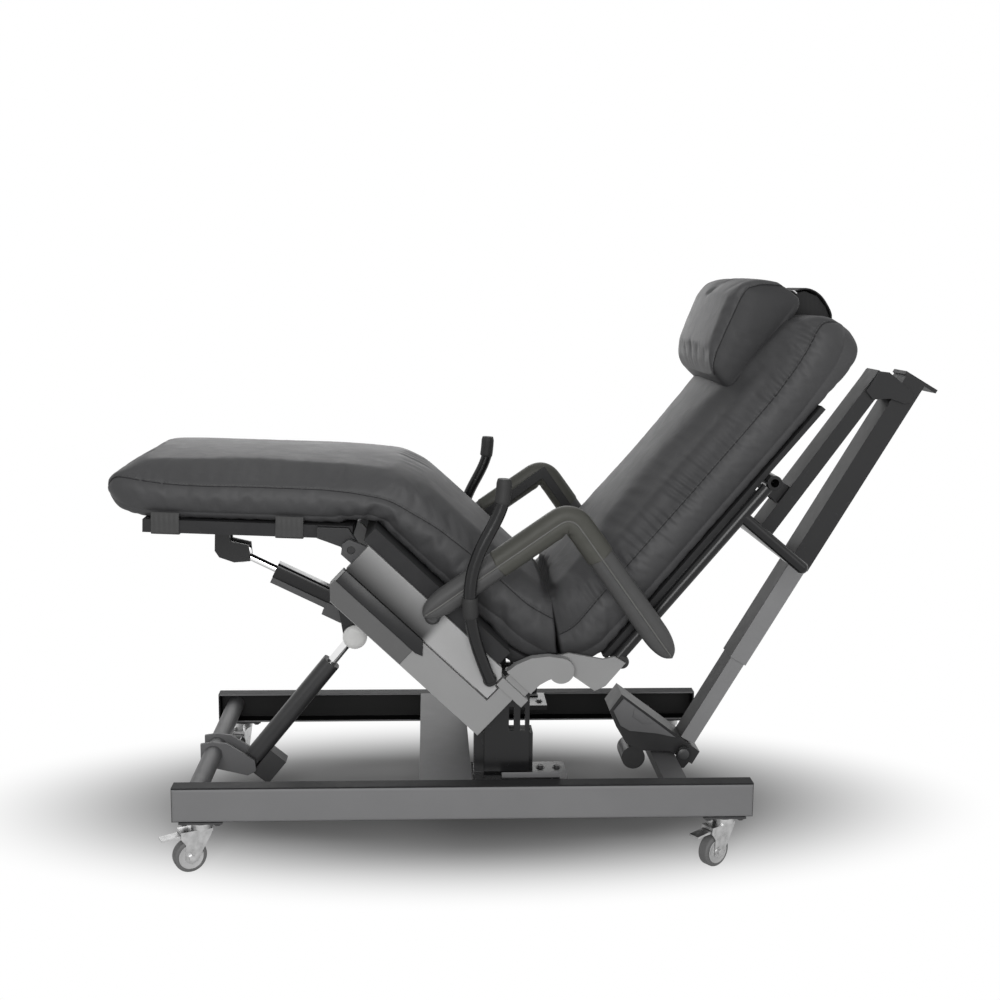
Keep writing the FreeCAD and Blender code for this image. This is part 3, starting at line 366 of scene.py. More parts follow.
zinc_plate = bright_metal("bright_zinc_plate", "#868686", 0.30, 14.0, 0.10, "#d4d4d4")
chrome_rod = bright_metal("hard_chrome_rod", "#e2e2e2", 0.12, 40.0, 0.04)
turned_steel = bright_metal("turned_steel", "#9a9a9a", 0.34, 8.0, 0.06)
black_steel = moulded("blackened_steel", "#3a3a3b", 0.40, 2.0, 0.10)
tyre_rubber = moulded("grey_tyre_rubber", "#6e6e6e", 0.62, 2.5)
hub_plastic = moulded("pale_grey_nylon", "#c4c4c4", 0.45, 2.0, 0.12)
case_plastic = moulded("black_glass_filled_nylon", "#29292a", 0.46, 2.2)
housing_plastic = moulded("black_housing_nylon", "#151516", 0.44, 2.2)
rail_plastic = moulded("grey_glass_filled_nylon", "#4a4a4b", 0.50, 2.2)
knuckle_plastic = moulded("white_acetal", "#f8f8f6", 0.40, 3.0, 0.10)
grip_rubber = moulded("black_grip_rubber", "#1f1f1f", 0.66, 2.4, 0.35)
print("metals, plastics and rubber ready")

# %% [markdown]
# ## Upholstery
# The cushions are covered in a coated cloth like artificial leather, dark grey and matt. Its embossed grain is
# about one millimetre, drawn at two so that it shows. Soft creases show as broad, faint changes of gloss.
# The straps and the flap are woven: warp and weft cross about every millimetre and a half.

# %% Coated cloth and webbing
THREAD_MM = 1.6


def coated_cloth(name, shade, rough=0.52):
    material, tree, shader, place = blank_material(name)
    slack = clouds(tree, place, 38.0, 3.0, Distortion=0.6)
    grain = bumped(tree, cells(tree, place, 2.0, feature="F2"), 0.16, 0.5)
    faded = spread(tree, clouds(tree, place, 190.0, 5.0), 0.88, 1.12)
    feed(tree, shader, {"Specular IOR Level": 0.25, "Base Color": times(tree, linear(shade)[:3], faded),
                        "Roughness": spread(tree, slack, rough - 0.06, rough + 0.10),
                        "Normal": bumped(tree, slack, 0.16, 5.0, Normal=grain)})
    return material


def webbing(name, shade):
    material, tree, shader, place = blank_material(name)
    warp, weft = (add(tree, "ShaderNodeTexWave", {"Vector": place, "Scale": 0.05 / (THREAD_MM * MM),
                                                  "Distortion": 0.4}, bands_direction=way).outputs["Fac"]
                  for way in ("X", "Y"))
    weave = maths(tree, "MULTIPLY", warp, weft)
    feed(tree, shader, {"Base Color": times(tree, linear(shade)[:3], spread(tree, weave, 0.72, 1.15)),
                        "Roughness": 0.78, "Normal": bumped(tree, weave, 0.5, 0.6)})
    return material


cover_cloth = coated_cloth("coated_cloth_dark_grey", "#4b4b4c")
gathered_cloth = coated_cloth("coated_cloth_gathered_panel", "#454546", 0.56)
# A darker copy of the cover cloth for the pillow's band: painted shade on its sides.
pillow_side_shade_cloth = coated_cloth("coated_cloth_pillow_side_painted_shade", "#3b3b3c", 0.56)
arm_cloth = coated_cloth("coated_cloth_arm_rest", "#4f4f4f", 0.46)
# Paler than the cover: a painted highlight along the round cord of piping.
piping_highlight_cloth = coated_cloth("coated_cloth_piping_painted_highlight", "#6c6c6a", 0.40)
# Darker than the cover: the cord laid in each seam is painted shade of the seam's groove.
seam_shade_cloth = coated_cloth("coated_cloth_seam_painted_shade", "#262627", 0.60)
cuff_cloth = coated_cloth("coated_cloth_olive_grey", "#4c4c47", 0.50)
board_cloth = coated_cloth("board_backing_cloth", "#2a2a2b", 0.62)
strap_web = webbing("woven_strap_grey", "#4c4c4c")
flap_web = webbing("woven_flap_black", "#0d0d0e")
thread = moulded("sewing_thread_grey", "#505050", 0.6, 1.0, 0.1)
print("cloths ready")

# %% Finishes on the carried-over nodes
def dress(piece, material):
    """Gives a piece one material all over."""
    piece.data.materials.clear()
    piece.data.materials.append(material)
    return piece


CASTOR_TURN = {"near_foot": 25.0, "near_head": 35.0, "far_foot": 80.0, "far_head": -20.0}
finish_of = {
    channel_paint: ["near_rail", "far_rail"],
    rail_paint: ["front_cross_tube", "rear_cross_beam", "centre_cross_plate"],
    silver_paint: ["near_seat_beam", "far_seat_beam", "seat_hinge_arms", "back_hinge_plates"],
    side_paint: ["side_plates"],
    cover_paint: ["beam_covers"],
    plate_paint: ["mast_foot_lugs", "leg_brackets", "near_arm_frame", "far_arm_frame", "seat_cross_tubes"],
    tube_paint: ["near_pedestal", "far_pedestal", "near_assist_handle", "far_assist_handle", "near_back_tube",
                 "far_back_tube", "upper_cross_tube", "rear_bar"],
    mast_paint: ["hanger_arm", "mast_upper"],
    mast_light: ["mast_lower", "mast_mid"],
    case_plastic: ["tilt_actuator"],
    housing_plastic: ["mast_housing"],
    rail_plastic: ["leg_actuator"],
    chrome_rod: ["tilt_rod", "leg_rod"],
    turned_steel: ["pivot_pins"],
    # The castor plates take the dark steel; they lie in the shade under the rails, and their dark tone is partly
    # painted shade.
    black_steel: ["castor_plates"],
    zinc_plate: [corner + part for corner in CASTOR_TURN for part in ("_fork", "_pedal")],
    tyre_rubber: [corner + "_wheel" for corner in CASTOR_TURN],
    board_cloth: ["seat_board", "leg_board", "back_board"],
    cover_cloth: ["seat_cushion", "leg_cushion", "back_cushion", "head_pillow", "near_arm_pad", "far_arm_pad"],
    strap_web: ["leg_straps", "pillow_flap"],
}
for material, names in finish_of.items():
    for name in names:
        dress(nodes[name], material)
print("finished nodes", sum(len(names) for names in finish_of.values()), "of", len(nodes))

# %% [markdown]
# ## Sewn covers
# Each cushion is a foam block in a sewn cover. A top panel wraps over the edge and meets a side band at a seam,
# and the band meets the bottom panel at a second seam. A mesh of loops suits this better than a remeshed block:
# every seam is one row of the mesh, so it can be held while the panels between are blown up with cloth.

# %% One loop of a cover
STEPS = dict(base=8, facet=5, band=8, wrap=8, top=18)
LOW_SEAM = STEPS["base"] + STEPS["facet"]
HIGH_SEAM = LOW_SEAM + STEPS["band"]
SHOULDER = HIGH_SEAM + STEPS["wrap"]
CREST = SHOULDER + STEPS["top"]
AROUND = 2 * CREST
SEAM_LIP = 3.0 * MM


def curve_through(first, pull, last, steps):
    """Points of a quadratic curve after its first point, pulled towards the middle one."""
    share = np.linspace(0, 1, steps + 1)[1:, None]
    return (1 - share) ** 2 * first + 2 * share * (1 - share) * pull + share ** 2 * last


def half_loop(half, rise, crown, tuck, seam, low_seam, inset, belly):
    """Half of a section from the middle of its underside to the middle of its top, as (across, height)."""
    middle, edge = np.array([0.0, 0.0]), np.array([half - inset, 0.0])
    low = np.array([half - 0.30 * inset, low_seam * rise])
    high = np.array([half - 0.001, seam * rise])
    shoulder = np.array([half - tuck, rise])
    across = np.linspace(half - tuck, 0, STEPS["top"] + 1)[1:]
    crest = np.column_stack([across, rise + crown * (1 - (across / max(half - tuck, 1e-6)) ** 2)])
    side = np.concatenate([
        middle[None], curve_through(middle, edge / 2, edge, STEPS["base"]),
        curve_through(edge, np.array([half - 0.45 * inset, 0.1 * low_seam * rise]), low, STEPS["facet"]),
        curve_through(low, np.array([half + 2 * belly, 0.5 * (low_seam + seam) * rise]), high, STEPS["band"]),
        curve_through(high, np.array([half - 0.06 * tuck, rise * (0.96 + 0.04 * seam)]), shoulder, STEPS["wrap"]),
        crest])
    for row in (LOW_SEAM, HIGH_SEAM):
        for beside in (row - 1, row + 1):
            away = side[beside] - side[row]
            side[beside] = side[row] + away * min(1.0, SEAM_LIP / np.linalg.norm(away))
    return side


print("points round a loop", AROUND)

# %% Stations along a cushion, and the mesh through them
def run_along(points):
    """How far along its line each point lies."""
    return np.concatenate([[0], np.cumsum(np.linalg.norm(np.diff(points, axis=0), axis=1))])


def stations(rows, spacing, passes=5):
    """Evenly spaced rows between the given ones, with the corners of the table smoothed."""
    rows = np.array(rows, float)
    run = run_along((rows[:, 0:2] + rows[:, 2:4]) / 2)
    at = np.linspace(0, run[-1], int(run[-1] / spacing) + 1)
    table = np.column_stack([np.interp(at, run, column) for column in rows.T])
    for _ in range(passes):
        table[1:-1] = (table[:-2] + 2 * table[1:-1] + table[2:]) / 4
    return at, table


def loop_points(table, inset, belly):
    """World points of every loop, as an array of stations by points by three."""
    loops = []
    for low_x, low_z, high_x, high_z, half, crown, tuck, seam, low_seam in table:
        lean = np.array([high_x - low_x, high_z - low_z])
        tall = np.linalg.norm(lean)
        side = half_loop(half, tall, crown, tuck, seam, low_seam, min(inset, 0.8 * half), belly)
        ring = np.concatenate([side, side[-2:0:-1] * (-1, 1)])
        lean /= tall
        loops.append(np.column_stack([low_x + lean[0] * ring[:, 1], ring[:, 0], low_z + lean[1] * ring[:, 1]]))
    return np.array(loops)


def skin(name, loops):
    """A closed mesh over loops of equal length. Vertex station * around + point is kept in that order."""
    count, around = loops.shape[:2]
    faces = []
    for station in range(count - 1):
        first, second = station * around, (station + 1) * around
        for point in range(around):
            after = (point + 1) % around
            faces.append((first + point, first + after, second + after, second + point))
    for first in (0, (count - 1) * around):
        for point in range(around // 2):
            rung = [point, point + 1, (around - point - 1) % around, (around - point) % around]
            faces.append(tuple(first + corner for corner in dict.fromkeys(rung)))
    mesh = bpy.data.meshes.new(name)
    mesh.from_pydata(loops.reshape(-1, 3).tolist(), [], faces)
    work = bmesh.new()
    work.from_mesh(mesh)
    bmesh.ops.recalc_face_normals(work, faces=work.faces)
    work.to_mesh(mesh)
    work.free()
    return placed(name, mesh)


print("cover tools ready")

# %% Reading and settling a mesh
def vertex_values(mesh, what):
    """Positions or normals of a mesh's vertices, as an array."""
    flat = np.zeros(len(mesh.vertices) * 3, np.float32)
    mesh.vertices.foreach_get(what, flat)
    return flat.reshape(-1, 3).astype(float)


def outward(piece):
    return vertex_values(piece.data, "normal")


def put(piece, points):
    """Moves every vertex of a piece."""
    piece.data.vertices.foreach_set("co", points.astype(np.float32).ravel())
    piece.data.update()


def evaluated(piece):
    """A new mesh of the piece as its modifiers show it."""
    return bpy.data.meshes.new_from_object(piece.evaluated_get(bpy.context.evaluated_depsgraph_get()))


def settle(piece):
    """Makes the modifiers part of the piece's mesh, with smooth shading."""
    made = evaluated(piece)
    piece.modifiers.clear()
    old, piece.data = piece.data, made
    bpy.data.meshes.remove(old)
    made.polygons.foreach_set("use_smooth", [True] * len(made.polygons))


def subdivided(piece):
    finer = piece.modifiers.new("finer", "SUBSURF")
    finer.levels = finer.render_levels = 1
    settle(piece)


def from_ends(count):
    """How many steps each station is from the nearer end."""
    return np.minimum(np.arange(count), np.arange(count)[::-1])


print("mesh tools ready")

# %% [markdown]
# The stuffing is a cloth simulation. Air pressure pushes the panels out, the seams and the underside are held,
# and the cloth is cut a little larger than the block, so that it puckers beside its seams as real covers do.
# How far a point may move is capped, so a cover never leaves the space of its foam.

# %% Stuffing by cloth simulation
CLOTH = dict(quality=6, mass=0.3, tension_stiffness=12.0, compression_stiffness=12.0, shear_stiffness=6.0,
             bending_stiffness=0.6, use_pressure=True, uniform_pressure_force=4.0)
CLOTH_STEPS = 20
CALM_LOOPS = 9


def stuff(piece, hold, cap, slack):
    """Blows a cover up and gives its new points. hold is a weight for each vertex: 1 stays, 0 is free. No point
    moves farther than cap, and the ends stay calm."""
    start = vertex_values(piece.data, "co")
    loops, around = hold.shape
    ease = np.repeat(np.clip(from_ends(loops) / CALM_LOOPS, 0, 1), around)[:, None]
    hold = hold.ravel()
    group = piece.vertex_groups.new(name="held")
    for weight in np.unique(hold):
        group.add(np.nonzero(hold == weight)[0].tolist(), float(weight), "REPLACE")
    cloth = piece.modifiers.new("stuffing", "CLOTH")
    for name, value in dict(CLOTH, shrink_min=-slack, vertex_group_mass="held").items():
        setattr(cloth.settings, name, value)
    cloth.settings.effector_weights.gravity = 0.0
    for step in range(CLOTH_STEPS):
        scene.frame_set(step + 1)
    blown = evaluated(piece)
    move = vertex_values(blown, "co") - start
    bpy.data.meshes.remove(blown)
    piece.modifiers.remove(cloth)
    piece.vertex_groups.clear()
    scene.frame_set(1)
    far = np.linalg.norm(move, axis=1, keepdims=True)
    return start + ease * move * np.minimum(1.0, cap / np.maximum(far, 1e-9))


print("stuffing ready")

# %% [markdown]
# Creases are drawn as short lines on the cover, measured along it and round it from the seam. Each one presses
# a soft valley into the cloth with a low lip on either side, and fades out at its far end.

# %% Creases
dice = np.random.default_rng(7)


def crease(points, normals, along, around, lines):
    """Presses creases into a cover. A line is (s0, t0, s1, t1, depth, width), all in metres."""
    shift = np.zeros(len(points))
    for s0, t0, s1, t1, depth, width in lines:
        run = np.array([s1 - s0, t1 - t0])
        share = ((along - s0) * run[0] + (around - t0) * run[1]) / (run @ run)
        inside = np.clip(share, 0, 1)
        gap = np.hypot(along - s0 - inside * run[0], around - t0 - inside * run[1])
        fade = np.clip(1.15 - inside, 0, 1)
        shift += fade * depth * (0.35 * np.exp(-((gap - 2 * width) / width) ** 2) - np.exp(-(gap / width) ** 2))
    return points + normals * shift[:, None]


def pucker(s, lean, reach, depth, width):
    """A crease that leaves the seam at s, with its other values drawn by chance between two limits each."""
    return (s, 0.0, s + dice.uniform(*lean), dice.uniform(*reach), dice.uniform(*depth), dice.uniform(*width))


def round_distance(loops, seam_point):
    """For each vertex, its distance round its own loop from the seam, positive towards the crest."""
    half = loops[:, :CREST + 1]
    step = np.linalg.norm(np.diff(half, axis=1), axis=2)
    length = np.concatenate([np.zeros((len(loops), 1)), np.cumsum(step, axis=1)], axis=1)
    length -= length[:, seam_point:seam_point + 1]
    return np.concatenate([length, length[:, -2:0:-1]], axis=1).ravel()


def crease_sides(cover, points, loops, run, draw_lines):
    """Draws lines for the far side and then for the near side, and creases each half of the cover with its own."""
    along, around = np.repeat(run, AROUND), round_distance(loops, HIGH_SEAM)
    near_side = np.tile(np.arange(AROUND) > CREST, len(run))
    normals = outward(cover)
    for half in (~near_side, near_side):
        points[half] = crease(points[half], normals[half], along[half], around[half], draw_lines())


print("crease tools ready")

# %% Seams of a cover
def seam_rows(point):
    """The two loop places of one seam, on the far side and on the near side."""
    return point, AROUND - point


def blown_cover(name, loops, cap, slack=0.02):
    """A cover over loops, stuffed while its underside and ends are held fast and its seams almost."""
    cover = skin(name, loops)
    hold = np.zeros((len(loops), AROUND))
    hold[:, :STEPS["base"] + 1] = 1.0
    hold[:, -STEPS["base"]:] = 1.0
    for row in seam_rows(LOW_SEAM) + seam_rows(HIGH_SEAM):
        hold[:, row - 1:row + 2] = 0.9
    hold[[0, -1]] = 1.0
    points = stuff(cover, hold, cap, slack)
    put(cover, points)
    return cover, points


def sewn(cover, points, high, low):
    """Pulls the high and low seams of a cover in by their depths, less at its ends and hardly in the rows beside
    them. Its points come back as a grid."""
    count = len(points) // AROUND
    shallow = np.clip(from_ends(count) / 8, 0.15, 1)[:, None]
    shift = np.zeros((count, AROUND))
    for point, depth in ((HIGH_SEAM, high), (LOW_SEAM, low)):
        for row in seam_rows(point):
            shift[:, [row]] -= depth * shallow
            shift[:, [row - 1, row + 1]] -= depth * 0.1 * shallow
    points = points + outward(cover) * shift.reshape(-1, 1)
    put(cover, points)
    return points.reshape(count, AROUND, 3)


def two_cloths(piece, band, panel):
    """The band cloth all over, and the panel cloth between the high seams."""
    dress(piece, band)
    piece.data.materials.append(panel)
    row = np.arange(len(piece.data.polygons)) % AROUND
    chosen = (row >= HIGH_SEAM) & (row < AROUND - HIGH_SEAM)
    chosen[-AROUND:] = False
    piece.data.polygons.foreach_set("material_index", chosen.astype(int))


def upholster(cover, fill, *replaced):
    """Hides the nodes that a cover takes the place of; fill is not used."""
    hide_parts(*replaced)


print("seam tools ready")

# %% [markdown]
# ## Seat and leg rest in one cover
# One long cushion runs from the foot end over the knee and down to the hip. It lies on two boards that hinge at
# the knee. Its sections are given on the leg rest and on the seat, each in its own tilted frame, in millimetres.

# %% Sections of the long cover
def spot_on(place, x, y, z):
    """The model's point for a spot in a tilted frame, given in millimetres."""
    return place @ Vector((x * MM, y * MM, z * MM))


def section_row(place, low_x, low_z, high_x, high_z, half, crown, tuck, seam, low_seam):
    """One row of a cover's table, from a tilted frame in millimetres to the model's frame in metres."""
    low, high = spot_on(place, low_x, 0, low_z), spot_on(place, high_x, 0, high_z)
    return [low.x, low.z, high.x, high.z, half * MM, crown * MM, tuck * MM, seam, low_seam]


leg_sections = [
    (-495, 86, -496, 104, 196, 1, 5, 0.62, 0.30), (-491, 72, -493, 117, 210, 4, 12, 0.86, 0.26),
    (-478, 59, -482, 128, 223, 6, 18, 0.92, 0.22), (-452, 49, -458, 136, 234, 8, 24, 0.86, 0.18),
    (-414, 43, -421, 141, 241, 10, 28, 0.78, 0.15), (-360, 43, -364, 143, 243, 11, 30, 0.71, 0.14),
    (-290, 43, -291, 144, 243, 11, 30, 0.69, 0.14), (-210, 43, -210, 145, 242, 12, 30, 0.70, 0.14),
    (-130, 43, -126, 145, 243, 12, 30, 0.70, 0.14), (-66, 43, -54, 145, 244, 12, 30, 0.70, 0.14),
    (-16, 46, 6, 143, 244, 13, 30, 0.66, 0.14), (22, 53, 73, 138, 243, 18, 30, 0.58, 0.14)]
seat_sections = [
    (-462, -41, -484, 57, 244, 17, 30, 0.54, 0.14), (-424, -43, -442, 63, 244, 17, 30, 0.60, 0.14),
    (-366, -43, -374, 64, 243, 18, 30, 0.72, 0.14), (-286, -43, -288, 65, 242, 18, 30, 0.78, 0.14),
    (-215, -43, -228, 65, 243, 17, 30, 0.80, 0.19), (-150, -43, -186, 66, 243, 16, 29, 0.80, 0.24),
    (-92, -46, -147, 69, 243, 14, 27, 0.79, 0.26), (-53, -38, -124, 74, 240, 11, 24, 0.78, 0.21),
    (-23, -19, -105, 78, 236, 7, 19, 0.76, 0.15), (4, 4, -92, 81, 230, 3, 10, 0.72, 0.12)]
long_rows = [section_row(LEG, *row) for row in leg_sections] + [section_row(SEAT, *row) for row in seat_sections]
print("sections", len(long_rows))

# %% Stuff the long cover
long_run, long_table = stations(long_rows, 7.0 * MM)
long_loops = loop_points(long_table, inset=0.034, belly=0.006)
long_cover, long_points = blown_cover("seat_leg_cover", long_loops, cap=0.014)
print("long cover", long_points.min(0).round(3), long_points.max(0).round(3))

# %% [markdown]
# In the photograph the cover puckers at the top seam near the foot end, gathers under the knee, and has long
# slanting folds on the side of the seat towards the hip.

# %% Creases of the long cover
knee_run = long_run[np.argmin(np.abs(long_table[:, 2] - pivots["leg_lift"].x - 0.06))]


def long_creases():
    lines = []
    for _ in range(9):
        lines.append(pucker(dice.uniform(0.07, 0.22), (-0.006, 0.006), (0.03, 0.06), (0.0010, 0.0022), (0.004, 0.007)))
    for _ in range(26):
        lines.append(pucker(dice.uniform(0.05, long_run[-1] - 0.05), (-0.01, 0.01), (-0.035, 0.035), (0.0004, 0.0011),
                            (0.004, 0.008)))
    for lean in (-0.05, -0.018, 0.012, 0.045):
        lines.append((knee_run + 0.3 * lean, -0.098, knee_run + 1.6 * lean, -0.025, 0.0065, 0.010))
    for s in (0.74, 0.81, 0.88, 0.95, 1.01):
        lines.append((s + 0.02, -0.085, s - 0.035, -0.006, dice.uniform(0.002, 0.0034), dice.uniform(0.009, 0.013)))
    return lines


crease_sides(long_cover, long_points, long_loops, long_run, long_creases)
long_grid = sewn(long_cover, long_points, high=0.0028, low=0.0024)
subdivided(long_cover)
dress(long_cover, cover_cloth)
upholster(long_cover, 0.75, "seat_cushion", "leg_cushion")
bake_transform(long_cover)
print("long cover faces", len(long_cover.data.polygons))

# %% [markdown]
# ## Back cushion
# The back is built the same way. Its front panel is gathered along the upper seam, so it is full of short
# pleats that run in from the seam, close together and uneven. The band behind the seam stays smooth.

# %% Back cushion
back_sections = [
    (2, -8, 83, 92, 226, 3, 10, 0.46, 0.12), (24, -31, 98, 90, 234, 8, 18, 0.50, 0.13),
    (46, -49, 117, 89, 241, 11, 24, 0.54, 0.14), (80, -57, 134, 87, 246, 14, 28, 0.58, 0.13),
    (130, -57, 156, 84, 248, 16, 30, 0.60, 0.13),
    (270, -57, 280, 84, 248, 16, 30, 0.60, 0.13), (430, -57, 430, 84, 248, 16, 30, 0.59, 0.13),
    (600, -57, 596, 84, 248, 16, 30, 0.59, 0.13), (700, -57, 692, 84, 248, 16, 30, 0.60, 0.14),
    (770, -57, 760, 84, 247, 15, 30, 0.64, 0.18), (822, -58, 808, 83, 245, 13, 28, 0.70, 0.22),
    (857, -55, 845, 79, 241, 10, 24, 0.78, 0.28), (880, -45, 868, 69, 233, 7, 18, 0.82, 0.34),
    (892, -26, 883, 52, 222, 4, 12, 0.78, 0.38), (897, -2, 892, 27, 208, 1, 5, 0.66, 0.36)]
back_run, back_table = stations([section_row(BACK, *row) for row in back_sections], 4.8 * MM)
back_loops = loop_points(back_table, inset=0.022, belly=0.005)
back_cover, back_points = blown_cover("back_cover", back_loops, cap=0.014, slack=0.03)
print("back cover", back_points.min(0).round(3), back_points.max(0).round(3))

# %% Pleats of the back cushion
def back_creases():
    lines = []
    s = 0.11
    while s < back_run[-1] - 0.05:
        lines.append(pucker(s, (-0.010, 0.014), (0.035, 0.085), (0.0026, 0.0052), (0.0042, 0.0064)))
        s += dice.uniform(0.013, 0.024)
    for _ in range(16):
        lines.append(pucker(dice.uniform(0.1, back_run[-1] - 0.08), (-0.01, 0.01), (-0.05, -0.02), (0.0003, 0.0008),
                            (0.005, 0.009)))
    return lines + [(s, -0.075, s + 0.06, 0.0, 0.0022, 0.012) for s in (0.05, 0.085)]


crease_sides(back_cover, back_points, back_loops, back_run, back_creases)
back_grid = sewn(back_cover, back_points, high=0.0028, low=0.0024)
two_cloths(back_cover, cover_cloth, gathered_cloth)
subdivided(back_cover)
upholster(back_cover, 0.75, "back_cushion")
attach(back_cover, "back")
print("back cover faces", len(back_cover.data.polygons))

# %% [markdown]
# ## Head pillow
# A firm wedge with flat sides and rounded edges. It is thin at the neck and deepest a little below its top.

# %% Head pillow
pillow_sections = [
    (645, 109, 648, 133, 168, 1, 6, 0.84, 0.2), (649, 101, 653, 147, 179, 3, 10, 0.88, 0.14),
    (660, 98, 662, 161, 185, 6, 14, 0.9, 0.11), (686, 98, 686, 175, 187, 8, 15, 0.9, 0.1),
    (732, 98, 732, 192, 188, 9, 15, 0.9, 0.1), (772, 98, 772, 205, 188, 10, 15, 0.9, 0.1),
    (806, 98, 802, 215, 188, 10, 15, 0.9, 0.1), (832, 98, 824, 217, 187, 9, 15, 0.9, 0.1),
    (858, 99, 848, 201, 185, 7, 14, 0.88, 0.12), (873, 103, 865, 179, 180, 4, 11, 0.85, 0.15),
    (884, 115, 879, 155, 172, 1, 6, 0.78, 0.22)]
PILLOW_HALF, PILLOW_BOW = 0.188, 0.012
pillow_run, pillow_table = stations([section_row(BACK, *row) for row in pillow_sections], 5.0 * MM, passes=2)
pillow_loops = loop_points(pillow_table, inset=0.012, belly=0.002)
bow = (np.abs(pillow_loops[:, :, 1]) / PILLOW_HALF) ** 2 * PILLOW_BOW
low_share = np.clip(1 - np.minimum(np.arange(AROUND), AROUND - np.arange(AROUND)) / SHOULDER, 0, 1)
front = BACK.to_3x3() @ Vector((0, 0, 1))
pillow_loops -= (bow * low_share)[:, :, None] * np.array(front)
pillow, pillow_points = blown_cover("pillow_cover", pillow_loops, cap=0.007)
pillow_creases = [pucker(s, (-0.02, 0.02), (-0.05, 0.04), (0.0002, 0.0007), (0.005, 0.009))
                  for s in np.arange(0.03, pillow_run[-1] - 0.02, 0.021)]
pillow_points = crease(pillow_points, outward(pillow), np.repeat(pillow_run, AROUND),
                       round_distance(pillow_loops, HIGH_SEAM), pillow_creases)
pillow_grid = sewn(pillow, pillow_points, high=0.0020, low=0.0016)
# The darker cloth on the pillow's band and underside is painted shade; its top panel takes the cover cloth.
two_cloths(pillow, pillow_side_shade_cloth, cover_cloth)
subdivided(pillow)
upholster(pillow, 0.8, "head_pillow")
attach(pillow, "pillow")
print("pillow", pillow_points.min(0).round(3), pillow_points.max(0).round(3))

# %% [markdown]
# ## Arm rest pads
# Each arm rest is one padded sleeve bent like a chevron. Two halves meet in a piped seam that runs along the
# middle of both sides and closes the pointed ends. The sleeve follows a path in the arm's own plane, rounded on
# the outside of the corner and pinched on the inside.

# %% Path and loops of an arm sleeve
SLEEVE = 40
SLEEVE_SEAMS = [0, SLEEVE // 2]
SLEEVE_WIDE, SLEEVE_TALL, SLEEVE_TIP = 0.0200, 0.0262, 0.062
ARM_BEND = 0.030
arm_pin = pivots["near_arm_flip"]
arm_corners = [(-19.0, 7.0), (268.0, 208.0), (474.0, -79.0)]


def sleeve_path(spacing):
    """Points and unit directions along the chevron, in the XZ plane, in metres from the arm's pin."""
    first, corner, last = [np.array(spot) * MM for spot in arm_corners]
    back, on = first - corner, last - corner
    enter, leave = corner + back / np.linalg.norm(back) * ARM_BEND, corner + on / np.linalg.norm(on) * ARM_BEND
    rough = np.concatenate([np.linspace(first, enter, 40), curve_through(enter, corner, leave, 14),
                            np.linspace(leave, last, 40)[1:]])
    run = run_along(rough)
    at = np.linspace(0, run[-1], int(run[-1] / spacing) + 1)
    path = np.column_stack([np.interp(at, run, rough[:, axis]) for axis in (0, 1)])
    ahead = np.gradient(path, axis=0)
    return at, path, ahead / np.linalg.norm(ahead, axis=1, keepdims=True)


def rounded_box(count, square, start=0.0):
    """Unit points round an ellipse at square 1, which turns to a rounded box as square nears 0."""
    turn = np.linspace(0, 2 * math.pi, count, endpoint=False) + start
    return [np.sign(wave(turn)) * np.abs(wave(turn)) ** square for wave in (np.cos, np.sin)]


def sleeve_loops(middle_y):
    """Loops round the path: rounded sections that thin to an upright edge at both ends."""
    at, path, ahead = sleeve_path(6.0 * MM)
    across, height = rounded_box(SLEEVE, 0.74)
    loops = []
    for s, spot, way in zip(at, path, ahead):
        tip = min(1.0, min(s, at[-1] - s) / SLEEVE_TIP)
        tall = SLEEVE_TALL * max(0.05, math.sqrt(1 - (1 - tip) ** 2))
        wide = SLEEVE_WIDE * (0.42 + 0.58 * math.sqrt(1 - (1 - tip) ** 2.4))
        up = np.array([-way[1], way[0]])
        loops.append(np.column_stack([arm_pin.x + spot[0] + up[0] * height * tall, middle_y + across * wide,
                                      arm_pin.z + spot[1] + up[1] * height * tall]))
    return at, np.array(loops)


sleeve_run, near_loops = sleeve_loops(-0.3312)
print("sleeve length", round(sleeve_run[-1], 3), "loops", len(near_loops))

# %% Stuff the near sleeve and mirror it for the far side
near_sleeve = skin("near_arm_cover", near_loops)
count = len(sleeve_run)
hold = np.zeros((count, SLEEVE))
hold[:, SLEEVE_SEAMS] = 0.85
hold[[0, -1]] = 1.0
points = stuff(near_sleeve, hold, cap=0.003, slack=0.0)
put(near_sleeve, points)
corner_run = sleeve_run[np.argmin(np.abs(near_loops[:, 0, 0] - arm_pin.x - 0.266))]
step = np.linalg.norm(np.diff(near_loops[count // 3], axis=0), axis=1).mean()
place = np.arange(SLEEVE)
from_seam = np.where(place <= SLEEVE // 2, np.minimum(place, SLEEVE // 2 - place),
                     -np.minimum(place - SLEEVE // 2, SLEEVE - place)) * step
lines = [(corner_run + lean * 0.3, -0.056, corner_run + lean * 2.6, -0.012, 0.0062, 0.0046)
         for lean in (-0.013, 0.0, 0.013)]
lines += [(s, 0.0, s + dice.uniform(-0.010, 0.010), dice.choice([-0.02, 0.02]), dice.uniform(0.0002, 0.0005),
           dice.uniform(0.004, 0.008)) for s in np.arange(0.03, sleeve_run[-1], 0.031)]
points = crease(points, outward(near_sleeve), np.repeat(sleeve_run, SLEEVE), np.tile(from_seam, count), lines)
seam_pull = np.zeros((count, SLEEVE))
seam_pull[:, SLEEVE_SEAMS] = 0.0016
points -= outward(near_sleeve) * seam_pull.reshape(-1, 1)
put(near_sleeve, points)
near_grid = points.reshape(count, SLEEVE, 3)
arm_grids = {"near_arm": near_grid, "far_arm": near_grid * (1, -1, 1)}
far_sleeve = skin("far_arm_cover", arm_grids["far_arm"])
